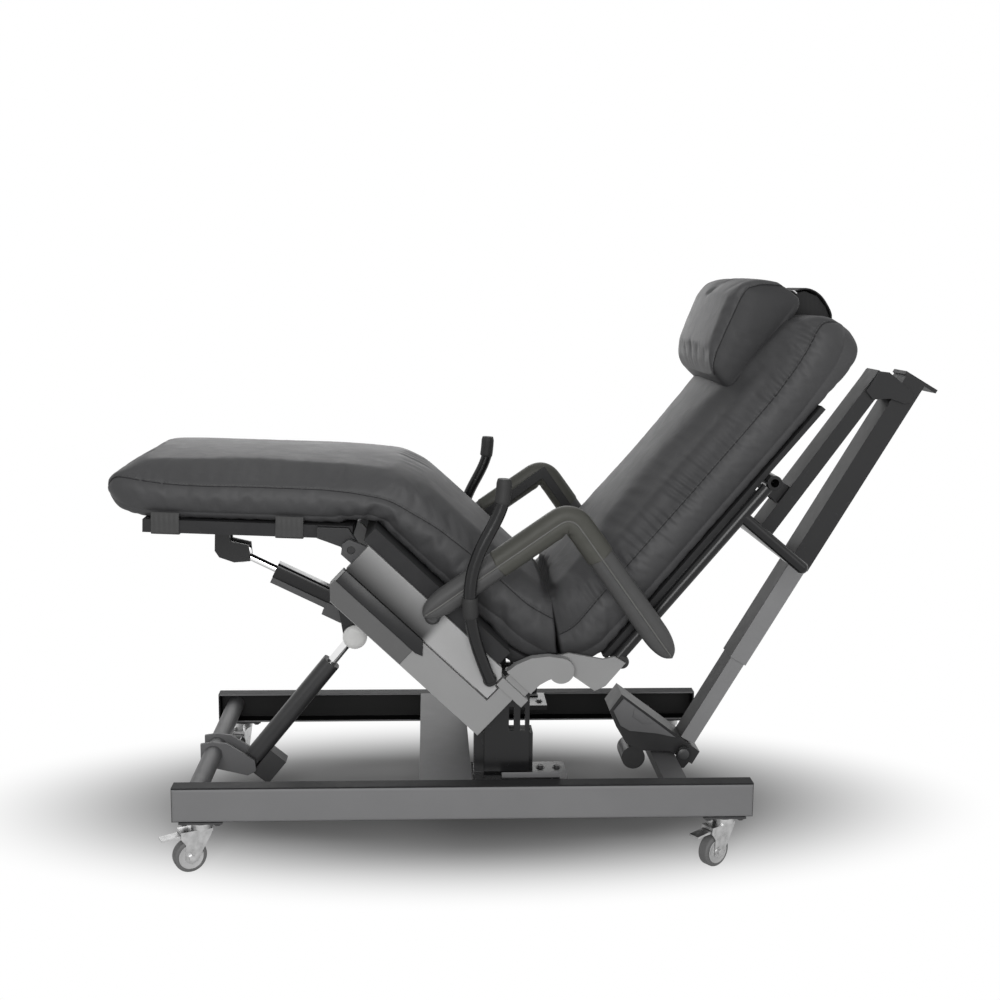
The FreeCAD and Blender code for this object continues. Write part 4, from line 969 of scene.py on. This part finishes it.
for sleeve, name in ((near_sleeve, "near_arm"), (far_sleeve, "far_arm")):
    subdivided(sleeve)
    dress(sleeve, arm_cloth)
    upholster(sleeve, 0.85, name + "_pad")
    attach(sleeve, name)
print("sleeves", points.min(0).round(3), points.max(0).round(3))

# %% [markdown]
# ## Seams, piping and stitches
# A top stitch runs beside each seam, one stitch about every seven millimetres, and the arm sleeves have a thin
# cord of piping. Both follow a line on the finished cover, so one node tree does each job: it takes a line,
# spaces stitches along it or sweeps a round cord, then realizes the result and sets its material.

# %% Parts of a node tree
def fresh_tree(name, sizes):
    """A geometry tree with a geometry input, named size inputs and a geometry output, and its input sockets."""
    tree = bpy.data.node_groups.new(name, "GeometryNodeTree")
    tree.interface.new_socket("Geometry", in_out="INPUT", socket_type="NodeSocketGeometry")
    for label, value in sizes.items():
        socket = tree.interface.new_socket(label, in_out="INPUT", socket_type="NodeSocketFloat")
        socket.default_value = value
    tree.interface.new_socket("Geometry", in_out="OUTPUT", socket_type="NodeSocketGeometry")
    return tree, add(tree, "NodeGroupInput").outputs


def stand(tree, points, shape, way):
    """The shape on every point, its Z axis turned the given way."""
    aim = add(tree, "FunctionNodeAlignRotationToVector", {"Vector": way}, axis="Z")
    return add(tree, "GeometryNodeInstanceOnPoints", {"Points": points, "Instance": shape,
                                                      "Rotation": aim.outputs[0]}).outputs[0]


def rod(tree, sides, radius, depth):
    return add(tree, "GeometryNodeMeshCylinder", {"Vertices": sides, "Radius": radius,
                                                  "Depth": depth}).outputs["Mesh"]


def close_tree(tree, shape, material):
    """Realizes the instances, sets the material and joins the result to the output."""
    solid = add(tree, "GeometryNodeRealizeInstances", {"Geometry": shape})
    coloured = add(tree, "GeometryNodeSetMaterial", {"Geometry": solid.outputs[0], "Material": material})
    add(tree, "NodeGroupOutput", {"Geometry": coloured.outputs[0]})
    return tree


print("tree tools ready")

# %% Node trees for stitches and piping
def stitch_tree():
    tree, given = fresh_tree("stitch_row", {"Spacing": 7.0 * MM, "Length": 4.6 * MM, "Thread": 0.45 * MM})
    line = add(tree, "GeometryNodeMeshToCurve", {"Mesh": given["Geometry"]})
    even = add(tree, "GeometryNodeResampleCurve", {"Curve": line.outputs[0], "Length": given["Spacing"]},
               mode="LENGTH")
    way = add(tree, "GeometryNodeInputTangent")
    one = rod(tree, 6, given["Thread"], given["Length"])
    return close_tree(tree, stand(tree, even.outputs[0], one, way.outputs[0]), thread)


def piping_tree(name, radius, material):
    tree, given = fresh_tree(name, {"Radius": radius})
    line = add(tree, "GeometryNodeMeshToCurve", {"Mesh": given["Geometry"]})
    ring = add(tree, "GeometryNodeCurvePrimitiveCircle", {"Resolution": 8, "Radius": given["Radius"]})
    cord = add(tree, "GeometryNodeCurveToMesh", {"Curve": line.outputs[0], "Profile Curve": ring.outputs[0],
                                                 "Fill Caps": True})
    return close_tree(tree, cord.outputs[0], material)


stitches = stitch_tree()
# The pale cord of piping is a painted highlight, and the dark cord in the seams is painted shade of their grooves.
piping = piping_tree("piping_cord", 1.7 * MM, piping_highlight_cloth)
seam_shade_cord = piping_tree("seam_painted_shade", 0.9 * MM, seam_shade_cloth)
print("stitch and piping trees ready")

# %% Run a tree
def run_on(name, mesh, tree, sizes):
    """Runs a tree on a mesh and returns the result as a plain mesh piece."""
    piece = placed(name, mesh)
    nodes_on = piece.modifiers.new("tree", "NODES")
    nodes_on.node_group = tree
    for socket in tree.interface.items_tree:
        if sizes and socket.in_out == "INPUT" and socket.name in sizes:
            nodes_on[socket.identifier] = sizes[socket.name]
    settle(piece)
    print(name, "faces", len(piece.data.polygons))
    return piece


def run_tree(name, tree, lines, sizes=None):
    """Runs a tree on one or more lines of points."""
    spots, edges = [], []
    for line in lines:
        edges += [(len(spots) + step, len(spots) + step + 1) for step in range(len(line) - 1)]
        spots += [tuple(spot) for spot in line]
    mesh = bpy.data.meshes.new(name)
    mesh.from_pydata(spots, edges, [])
    return run_on(name, mesh, tree, sizes)


print("trees can run")

# %% Piping on the sleeves
lift = np.array([0.0, 0.0017, 0.0])
for name, grid in arm_grids.items():
    rows = grid[1:-1]
    cords = [rows[:, row] + lift * np.sign(rows[:, row] - rows.mean(axis=1)) for row in SLEEVE_SEAMS]
    cord = run_tree(name + "_piping", piping, cords)
    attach(cord, name)

# %% [markdown]
# ## Swept and turned pieces
# The straps, the flap, the grips and the trim are simple sections carried along a path, or turned round an axis.
# Both kinds are loops of points too, so the same skin closes them.

# %% Curves and sections
def eased(spots, spacing):
    """A natural cubic curve through the spots, cut into even steps."""
    spots = np.array(spots, float)
    run = run_along(spots)
    gap = np.diff(run)
    size = len(spots)
    left, right = np.eye(size), np.zeros_like(spots)
    for k in range(1, size - 1):
        left[k, k - 1:k + 2] = gap[k - 1], 2 * (gap[k - 1] + gap[k]), gap[k]
        right[k] = 6 * ((spots[k + 1] - spots[k]) / gap[k] - (spots[k] - spots[k - 1]) / gap[k - 1])
    bend = np.linalg.solve(left, right)
    at = np.linspace(0, run[-1], max(2, int(run[-1] / spacing) + 1))
    k = np.clip(np.searchsorted(run, at, side="right") - 1, 0, size - 2)
    a, b, h = (run[k + 1] - at)[:, None], (at - run[k])[:, None], gap[k][:, None]
    return (bend[k] * a ** 3 + bend[k + 1] * b ** 3) / (6 * h) + (spots[k] / h - bend[k] * h / 6) * a \
        + (spots[k + 1] / h - bend[k + 1] * h / 6) * b


def oval(half_a, half_b, count, square=1.0):
    """A closed section, from an ellipse at square 1 to a rounded box as it nears 0."""
    across, height = rounded_box(count, square, math.pi / count)
    return np.column_stack([half_a * across, half_b * height])


print("curves and sections ready")

# %% Swept and turned pieces
SHARP_ANGLE = math.radians(35.0)
TURNED = 36


def smooth_shaded(piece):
    """Smooth shading, except over sharp edges."""
    piece.data.polygons.foreach_set("use_smooth", [True] * len(piece.data.polygons))
    piece.data.set_sharp_from_angle(angle=SHARP_ANGLE)
    return piece


def sweep(name, path, section, across, scale=None):
    """A section carried along a path. Its first axis lies along across, its second at right angles."""
    path = np.array(path, float)
    ahead = np.gradient(path, axis=0)
    ahead /= np.linalg.norm(ahead, axis=1, keepdims=True)
    across = np.array(across, float) - ahead * (ahead @ np.array(across, float))[:, None]
    across /= np.linalg.norm(across, axis=1, keepdims=True)
    up = np.cross(ahead, across)
    scale = np.ones(len(path)) if scale is None else np.array(scale)
    loops = path[:, None] + scale[:, None, None] * (section[None, :, :1] * across[:, None]
                                                    + section[None, :, 1:] * up[:, None])
    return smooth_shaded(skin(name, loops))


def lathe(name, centre, axis, profile):
    """A disc or cap turned round an axis from (offset, radius) pairs in millimetres."""
    axis = Vector(axis).normalized()
    side = axis.orthogonal().normalized()
    other = axis.cross(side)
    turn = np.linspace(0, 2 * math.pi, TURNED, endpoint=False)
    ring = np.cos(turn)[:, None] * np.array(side) + np.sin(turn)[:, None] * np.array(other)
    loops = [np.array(centre) + np.array(axis) * offset * MM + ring * radius * MM for offset, radius in profile]
    return smooth_shaded(skin(name, np.array(loops)))


def fit(piece, material, body):
    """The last two things every small piece needs: finish and body."""
    dress(piece, material)
    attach(piece, body)


print("sweeps ready")

# %% Flap over the top of the back
flap_line = [(880.8, -19), (882.5, -9), (893, -2.5), (912, 5), (924.5, 27), (930.6, 57), (920, 88), (898, 103)]
flap_path = eased([np.array(spot_on(BACK, u, 0, v)) for u, v in flap_line], 6.0 * MM)
flap = sweep("pillow_flap_cloth", flap_path, oval(0.070, 0.0019, 40, 0.22), (0, 1, 0))
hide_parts("pillow_flap")
fit(flap, flap_web, "back")

# %% Straps round the leg board
strap_line = [(182, 13.6), (210, 13.4), (234, 13.2), (240.6, 15.2), (241.6, 22), (241.8, 36), (242.4, 48), (241, 57)]
strap_section = oval(0.0275, 0.0013, 28, 0.20)
for number, start in enumerate((343.0, 98.0), 1):
    for side, word in SIDES:
        line = [np.array(spot_on(LEG, -(start + 27.5), side * y, z)) for y, z in strap_line]
        strap = sweep("leg_strap_%s_%d" % (word, number), eased(line, 4.0 * MM), strap_section,
                      LEG.to_3x3() @ Vector((1, 0, 0)))
        fit(strap, strap_web, "leg_rest")
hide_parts("leg_straps")

# %% [markdown]
# The assist handles are bare black tube with a rubber sleeve on the top end and a band half way down. The sleeve
# follows the same curve as the tube, so it is cut from that curve by length.

# %% Grips on the assist handles
handle_spots = [(48, 313.5, 384), (20, 345, 465), (6, 369, 545), (10, 370, 610), (30, 370, 668), (62, 370, 733),
                (70, 370, 793)]
# Places along the base were measured from a point this many millimetres from the origin
BASE_SHIFT = 156.5


def rubber(name, path, swell):
    """A rubber sleeve on a stretch of the handle."""
    fit(sweep(name, path, oval(0.0150, 0.0150, 32), (0, 1, 0), swell), grip_rubber, "seat")


for side, word in SIDES:
    line = eased([((x - BASE_SHIFT) * MM, side * y * MM, z * MM) for x, y, z in handle_spots], 3.0 * MM)
    left = np.linalg.norm(np.diff(line, axis=0), axis=1)[::-1].cumsum()[::-1]
    grip = np.concatenate([line[:-1][left < 0.046], [line[-1] + (line[-1] - line[-2]) * 0.8]])
    swell = np.ones(len(grip))
    swell[[0, -1]] = 0.90
    swell[-2:] *= 0.96
    rubber(word + "_handle_sleeve", grip, swell)
    band = line[np.abs(line[:, 2] - 0.545) < 0.020]
    ends = np.ones(len(band))
    ends[[0, -1]] = 0.93
    rubber(word + "_handle_band", band, ends)
print("grips ready")

# %% Castor hubs
castor_spots = {"near_foot": (-0.6815, -0.320), "near_head": (0.3685, -0.320), "far_foot": (-0.6815, 0.320),
                "far_head": (0.3685, 0.320)}
AXLE_HEIGHT, AXLE_TRAIL = 0.033, 0.026
hub_profile = [(9.0, 22.0), (12.9, 25.0), (13.5, 24.4), (13.3, 22.6), (12.8, 21.6), (12.8, 12.0), (13.4, 9.5),
               (13.4, 6.2)]
axles = {}
for corner, angle in CASTOR_TURN.items():
    turned_to = Matrix.Rotation(math.radians(angle), 3, "Z")
    axle = turned_to @ Vector((0, 1, 0))
    centre = Vector((*castor_spots[corner], AXLE_HEIGHT)) + turned_to @ Vector((-AXLE_TRAIL, 0, 0))
    axles[corner] = (centre, axle)
    for way, word in ((-1, "a"), (1, "b")):
        hub = lathe("%s_hub_%s" % (corner, word), centre, axle * way, hub_profile)
        fit(hub, hub_plastic, corner + "_roller")
print("hubs", len(axles) * 2)

# %% [markdown]
# ## Bolts
# Hex bolts and screws are all one node tree: it takes points that carry the way they face, stands a washer and a
# six-sided head on each, and realizes the result. The heads of one body make one piece.

# %% Bolt heads
def bolt_tree(name, material):
    tree, given = fresh_tree(name, {"Across": 12.0 * MM, "Height": 6.0 * MM, "Washer": 1.5 * MM})
    head = rod(tree, 6, maths(tree, "MULTIPLY", given["Across"], 0.58), given["Height"])
    washer = rod(tree, 28, maths(tree, "MULTIPLY", given["Across"], 0.90), given["Washer"])
    raised = add(tree, "ShaderNodeCombineXYZ", {"Z": maths(tree, "MULTIPLY", given["Height"], 0.5)})
    moved = add(tree, "GeometryNodeTransform", {"Geometry": head, "Translation": raised.outputs[0]})
    both = add(tree, "GeometryNodeJoinGeometry")
    for shape in (washer, moved.outputs[0]):
        tree.links.new(shape, both.inputs[0])
    facing = add(tree, "GeometryNodeInputNamedAttribute", {"Name": "facing"}, data_type="FLOAT_VECTOR")
    dots = add(tree, "GeometryNodeMeshToPoints", {"Mesh": given["Geometry"]})
    return close_tree(tree, stand(tree, dots.outputs[0], both.outputs[0], facing.outputs[0]), material)


bright_bolts = bolt_tree("bright_bolt_heads", zinc_plate)
black_bolts = bolt_tree("black_bolt_heads", black_steel)


def bolted(name, body, spots, sizes, tree=black_bolts):
    """Bolt heads of one body at (place, facing) pairs."""
    mesh = bpy.data.meshes.new(name)
    mesh.from_pydata([tuple(place) for place, _ in spots], [], [])
    way = mesh.attributes.new("facing", "FLOAT_VECTOR", "POINT")
    way.data.foreach_set("vector", np.array([tuple(facing) for _, facing in spots], np.float32).ravel())
    piece = run_on(name, mesh, tree, sizes)
    piece.data.polygons.foreach_set("use_smooth", [False] * len(piece.data.polygons))
    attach(piece, body)


for corner, (centre, axle) in axles.items():
    bolted(corner + "_axle_nuts", corner + "_castor",
           [(centre + axle * 0.0164 * way, axle * way) for way in (-1, 1)], {"Across": 11 * MM, "Height": 4.5 * MM},
           bright_bolts)

# %% [markdown]
# ## Trim on the frame
# Flat trim is cut from an outline in the frame of the part that carries it, given a thickness across the chair,
# and its edges are broken by about a millimetre so that they catch the light.

# %% Plates cut from an outline
def plate(name, place, outline, y_low, y_high, edge):
    """A flat plate from an outline in millimetres, from y_low to y_high, with rounded edges."""
    work = bmesh.new()
    face = work.faces.new([work.verts.new(spot_on(place, x, y_low, z)) for x, z in outline])
    grown = bmesh.ops.extrude_face_region(work, geom=[face])
    lifted = [item for item in grown["geom"] if isinstance(item, bmesh.types.BMVert)]
    bmesh.ops.translate(work, verts=lifted, vec=(0, (y_high - y_low) * MM, 0))
    bmesh.ops.bevel(work, geom=work.edges[:], offset=edge * MM, segments=2, profile=0.5, affect="EDGES")
    bmesh.ops.recalc_face_normals(work, faces=work.faces)
    mesh = bpy.data.meshes.new(name)
    work.to_mesh(mesh)
    work.free()
    return smooth_shaded(placed(name, mesh))


def box_line(x_low, x_high, z_first, z_last):
    return [(x_low, z_first), (x_high, z_first), (x_high, z_last), (x_low, z_last)]


print("plates ready")

# %% Plates in pairs
# Painted shade: a black strip fills the gap between each side plate and its beam cover, where the shade lies.
gap_shade_line = [(-454, -142.6), (-246, -142.6), (-225, -166), (-240, -171.4), (-454, -171.4)]
cover_line = [(21.5, 30), (39.5, 178), (4, 183), (-17, 152), (-17, 128), (8, 72)]
emboss_line = [(24.5, 88), (32.5, 146), (14, 140), (11, 112)]
tray_line, tray_lip = box_line(-82, 36, 172.4, 175.0), box_line(-82, 36, 175.0, 186.0)
# A black plate along each edge of the back board closes the gap to its tube: partly the board's own dark underside,
# partly painted shade in the gap.
board_gap_shade = box_line(78, 528, -69.0, -91)
paired_plates = [
    ("_beam_gap_shade", SEAT, gap_shade_line, 300.2, 305.5, 1.0, plate_paint, "frame_black", "seat"),
    ("_tray_floor", WORLD, tray_line, 266.0, 298.5, 0.6, plate_paint, "frame_black", "base"),
    ("_tray_lip", WORLD, tray_lip, 296.0, 298.5, 0.8, rail_paint, "frame_black", "base"),
    ("_board_gap_shade", BACK, board_gap_shade, 237.6, 240.2, 0.6, plate_paint, "board", "back"),
    ("_housing_cover", MAST, cover_line, 45.2, 47.6, 1.0, rail_paint, "mast_black", "mast_base"),
    ("_housing_emboss", MAST, emboss_line, 47.4, 49.4, 1.0, rail_paint, "mast_black", "mast_base")]
for what, place, outline, inner, outer, edge, material, slot, body in paired_plates:
    for word, low, high in (("near", -outer, -inner), ("far", inner, outer)):
        fit(plate(word + what, place, outline, low, high, edge), material, body)
print("paired plates", 2 * len(paired_plates))

# %% Dark sheet of painted shade under the hip, and the fold of the flap
# A dark cloth sheet closes the underside at the hip, where it lies in shade: painted shade.
hip_shade_line = [(-112, -50), (-112, -72), (-72, -66), (-34, -53), (4, -40), (27, -29), (41, -10), (36, -6), (22, -21),
             (0, -31), (-24, -38), (-22, -20), (-30, -18), (-53, -38), (-90, -46)]
fit(plate("hip_shade_sheet", SEAT, hip_shade_line, -230, 230, 1.5), board_cloth, "seat")
fold_line = [(862, 66), (886, -4), (894, 0), (911, 8), (921, 29), (926, 57), (916, 86), (901, 96), (884, 99),
             (864, 92)]
fit(plate("pillow_flap_fold", BACK, fold_line, -66, 66, 2.0), flap_web, "back")
print("cloth trim ready")

# %% Caps on the pins, and knobs
tilt_head = Vector((-0.389809, 0.0, 0.402063))
leg_foot = Vector((-0.402361, 0.0, 0.46748))
knob_profile = [(-15.0, 9.0), (-14.0, 12.5), (-11.0, 14.0), (11.0, 14.0), (14.0, 12.5), (15.0, 9.0)]
tilt_cap = [(34.2, 24.5), (38.0, 26.5), (43.0, 26.0), (46.5, 22.0), (48.0, 14.0), (48.4, 3.0)]
leg_cap = [(34.2, 11.5), (37.5, 12.0), (39.5, 10.5), (40.2, 2.0)]
arm_cap = [(311.2, 12.0), (313.4, 12.4), (314.8, 10.8), (315.2, 2.0)]
hub_cap = [(296.2, 10.4), (298.5, 10.4), (299.2, 9.0), (299.4, 2.0)]
mast_cap = [(60.2, 12.5), (62.4, 12.5), (63.4, 11.0), (63.8, 2.0)]
paired_caps = [
    ("_tilt_pin_cap", tilt_head, tilt_cap, knuckle_plastic, "case_black", "seat"),
    ("_leg_pin_cap", leg_foot, leg_cap, turned_steel, "pin_steel", "seat"),
    ("_hub_cap", pivots["seat_tilt"], hub_cap, turned_steel, "pin_steel", "base"),
    ("_arm_pin_cap", arm_pin, arm_cap, black_steel, "frame_black", "seat"),
    ("_mast_pin_cap", MAST.translation, mast_cap, black_steel, "frame_black", "base")]
for side, word in SIDES:
    for what, centre, profile, material, slot, body in paired_caps:
        fit(lathe(word + what, (centre.x, 0.0, centre.z), (0, side, 0), profile), material, body)
    knob_at = BACK @ Vector((0.088, side * 0.2515, -0.0925))
    fit(lathe(word + "_back_knob", knob_at, (0, 1, 0), knob_profile), grip_rubber, "back")
print("caps and knobs", 2 * len(paired_caps) + 2)

# %% Tube of the leg actuator
leg_eye = LEG @ Vector((-0.247, 0, -0.068))
along_leg = np.array((leg_eye - leg_foot).normalized())
tube_path = [np.array(leg_foot) + along_leg * reach for reach in np.linspace(0.0115, 0.1768, 12)]
leg_tube = sweep("leg_actuator_tube", tube_path, oval(0.0220, 0.0170, 48, 0.30), (0, 1, 0))
fit(leg_tube, tube_paint, "leg_case")

# %% Bolts of the frame
foot_bolts = [(((x - BASE_SHIFT) * MM, side * 0.230, 0.1724), (0, 0, 1)) for side in (-1, 1) for x in (158, 192)]
foot_bolts += [((castor_x + dx * MM, castor_y + dy * MM, 0.0978), (0, 0, -1))
               for castor_x, castor_y in castor_spots.values() for dx in (-33, 33) for dy in (-11, 11)]
bolted("base_bolts", "base", foot_bolts, {"Across": 10 * MM, "Height": 4.0 * MM})
screw_size = {"Across": 8 * MM, "Height": 2.4 * MM, "Washer": 0.8 * MM}
down, rear = LEG.to_3x3() @ Vector((0, 0, -1)), BACK.to_3x3() @ Vector((0, 0, -1))
leg_screws = [(spot_on(LEG, -x, y, 15.8), down) for x in (40, 210, 385) for y in (-205, 205)]
bolted("leg_board_screws", "leg_rest", leg_screws, screw_size)
back_screws = [(spot_on(BACK, u, y, -68.9), rear) for u in (120, 320, 520, 710) for y in (-215, 215)]
bolted("back_board_screws", "back", back_screws, screw_size)

# %% [markdown]
# ## Sewing
# The stitches follow the seam rows that the covers kept. A corner sleeve of a second cloth is pulled over each
# arm rest, and a zip closes the head pillow at its top end.

# %% Stitch rows
def seam_lines(grid, beside, lift, ends):
    """Lines along the high seam on both sides of a cover, so many rows beside it, raised a little off the cloth."""
    lines = []
    for row, way in zip(seam_rows(HIGH_SEAM), (1, -1)):
        line = grid[ends:-ends, row + way * beside]
        away = line - grid[ends:-ends].mean(axis=1)
        lines.append(line + away / np.linalg.norm(away, axis=1, keepdims=True) * lift)
    return lines


# Stitches beside the seams of each cover, and in each seam a dark cord of painted shade.
for cover, grid in (("back", back_grid), ("pillow", pillow_grid), ("seat_leg", long_grid)):
    rows = [run_tree(cover + "_stitches", stitches, seam_lines(grid, 1, 0.5 * MM, 2)),
            run_tree(cover + "_seam_painted_shade", seam_shade_cord, seam_lines(grid, 0, 1.4 * MM, 1))]
    for row in rows:
        if cover == "seat_leg":
            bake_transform(row)
        else:
            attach(row, cover)

# %% Corner sleeves on the arm rests
covered = (sleeve_run > 0.170) & (sleeve_run < 0.450)
for name, grid in arm_grids.items():
    away = grid - grid.mean(axis=1, keepdims=True)
    away /= np.linalg.norm(away, axis=2, keepdims=True)
    cuff = skin(name + "_corner_sleeve", (grid + away * 1.7 * MM)[covered])
    subdivided(cuff)
    fit(cuff, cuff_cloth, name)
print("corner sleeves", len(arm_grids))

# %% Zip of the pillow
def across_pillow(u, first, last, count):
    """A level line across the top end of the pillow."""
    return [np.array(BACK @ Vector((u, y, 0.1160))) for y in np.linspace(first, last, count)]


up_back = BACK.to_3x3() @ Vector((1, 0, 0))
zip_line = across_pillow(0.8855, -0.150, 0.150, 40)
zip_sizes = {"Spacing": 3.0 * MM, "Length": 1.8 * MM, "Thread": 1.3 * MM}
fit(run_tree("pillow_zip_teeth", stitches, [zip_line], zip_sizes), grip_rubber, "pillow")
fit(sweep("pillow_zip_tape", zip_line, oval(0.0008, 0.0062, 16, 0.3), up_back), flap_web, "pillow")
pull_line = across_pillow(0.8875, -0.152, -0.126, 6)
fit(sweep("pillow_zip_pull", pull_line, oval(0.0011, 0.0040, 16, 0.4), up_back), zinc_plate, "pillow")
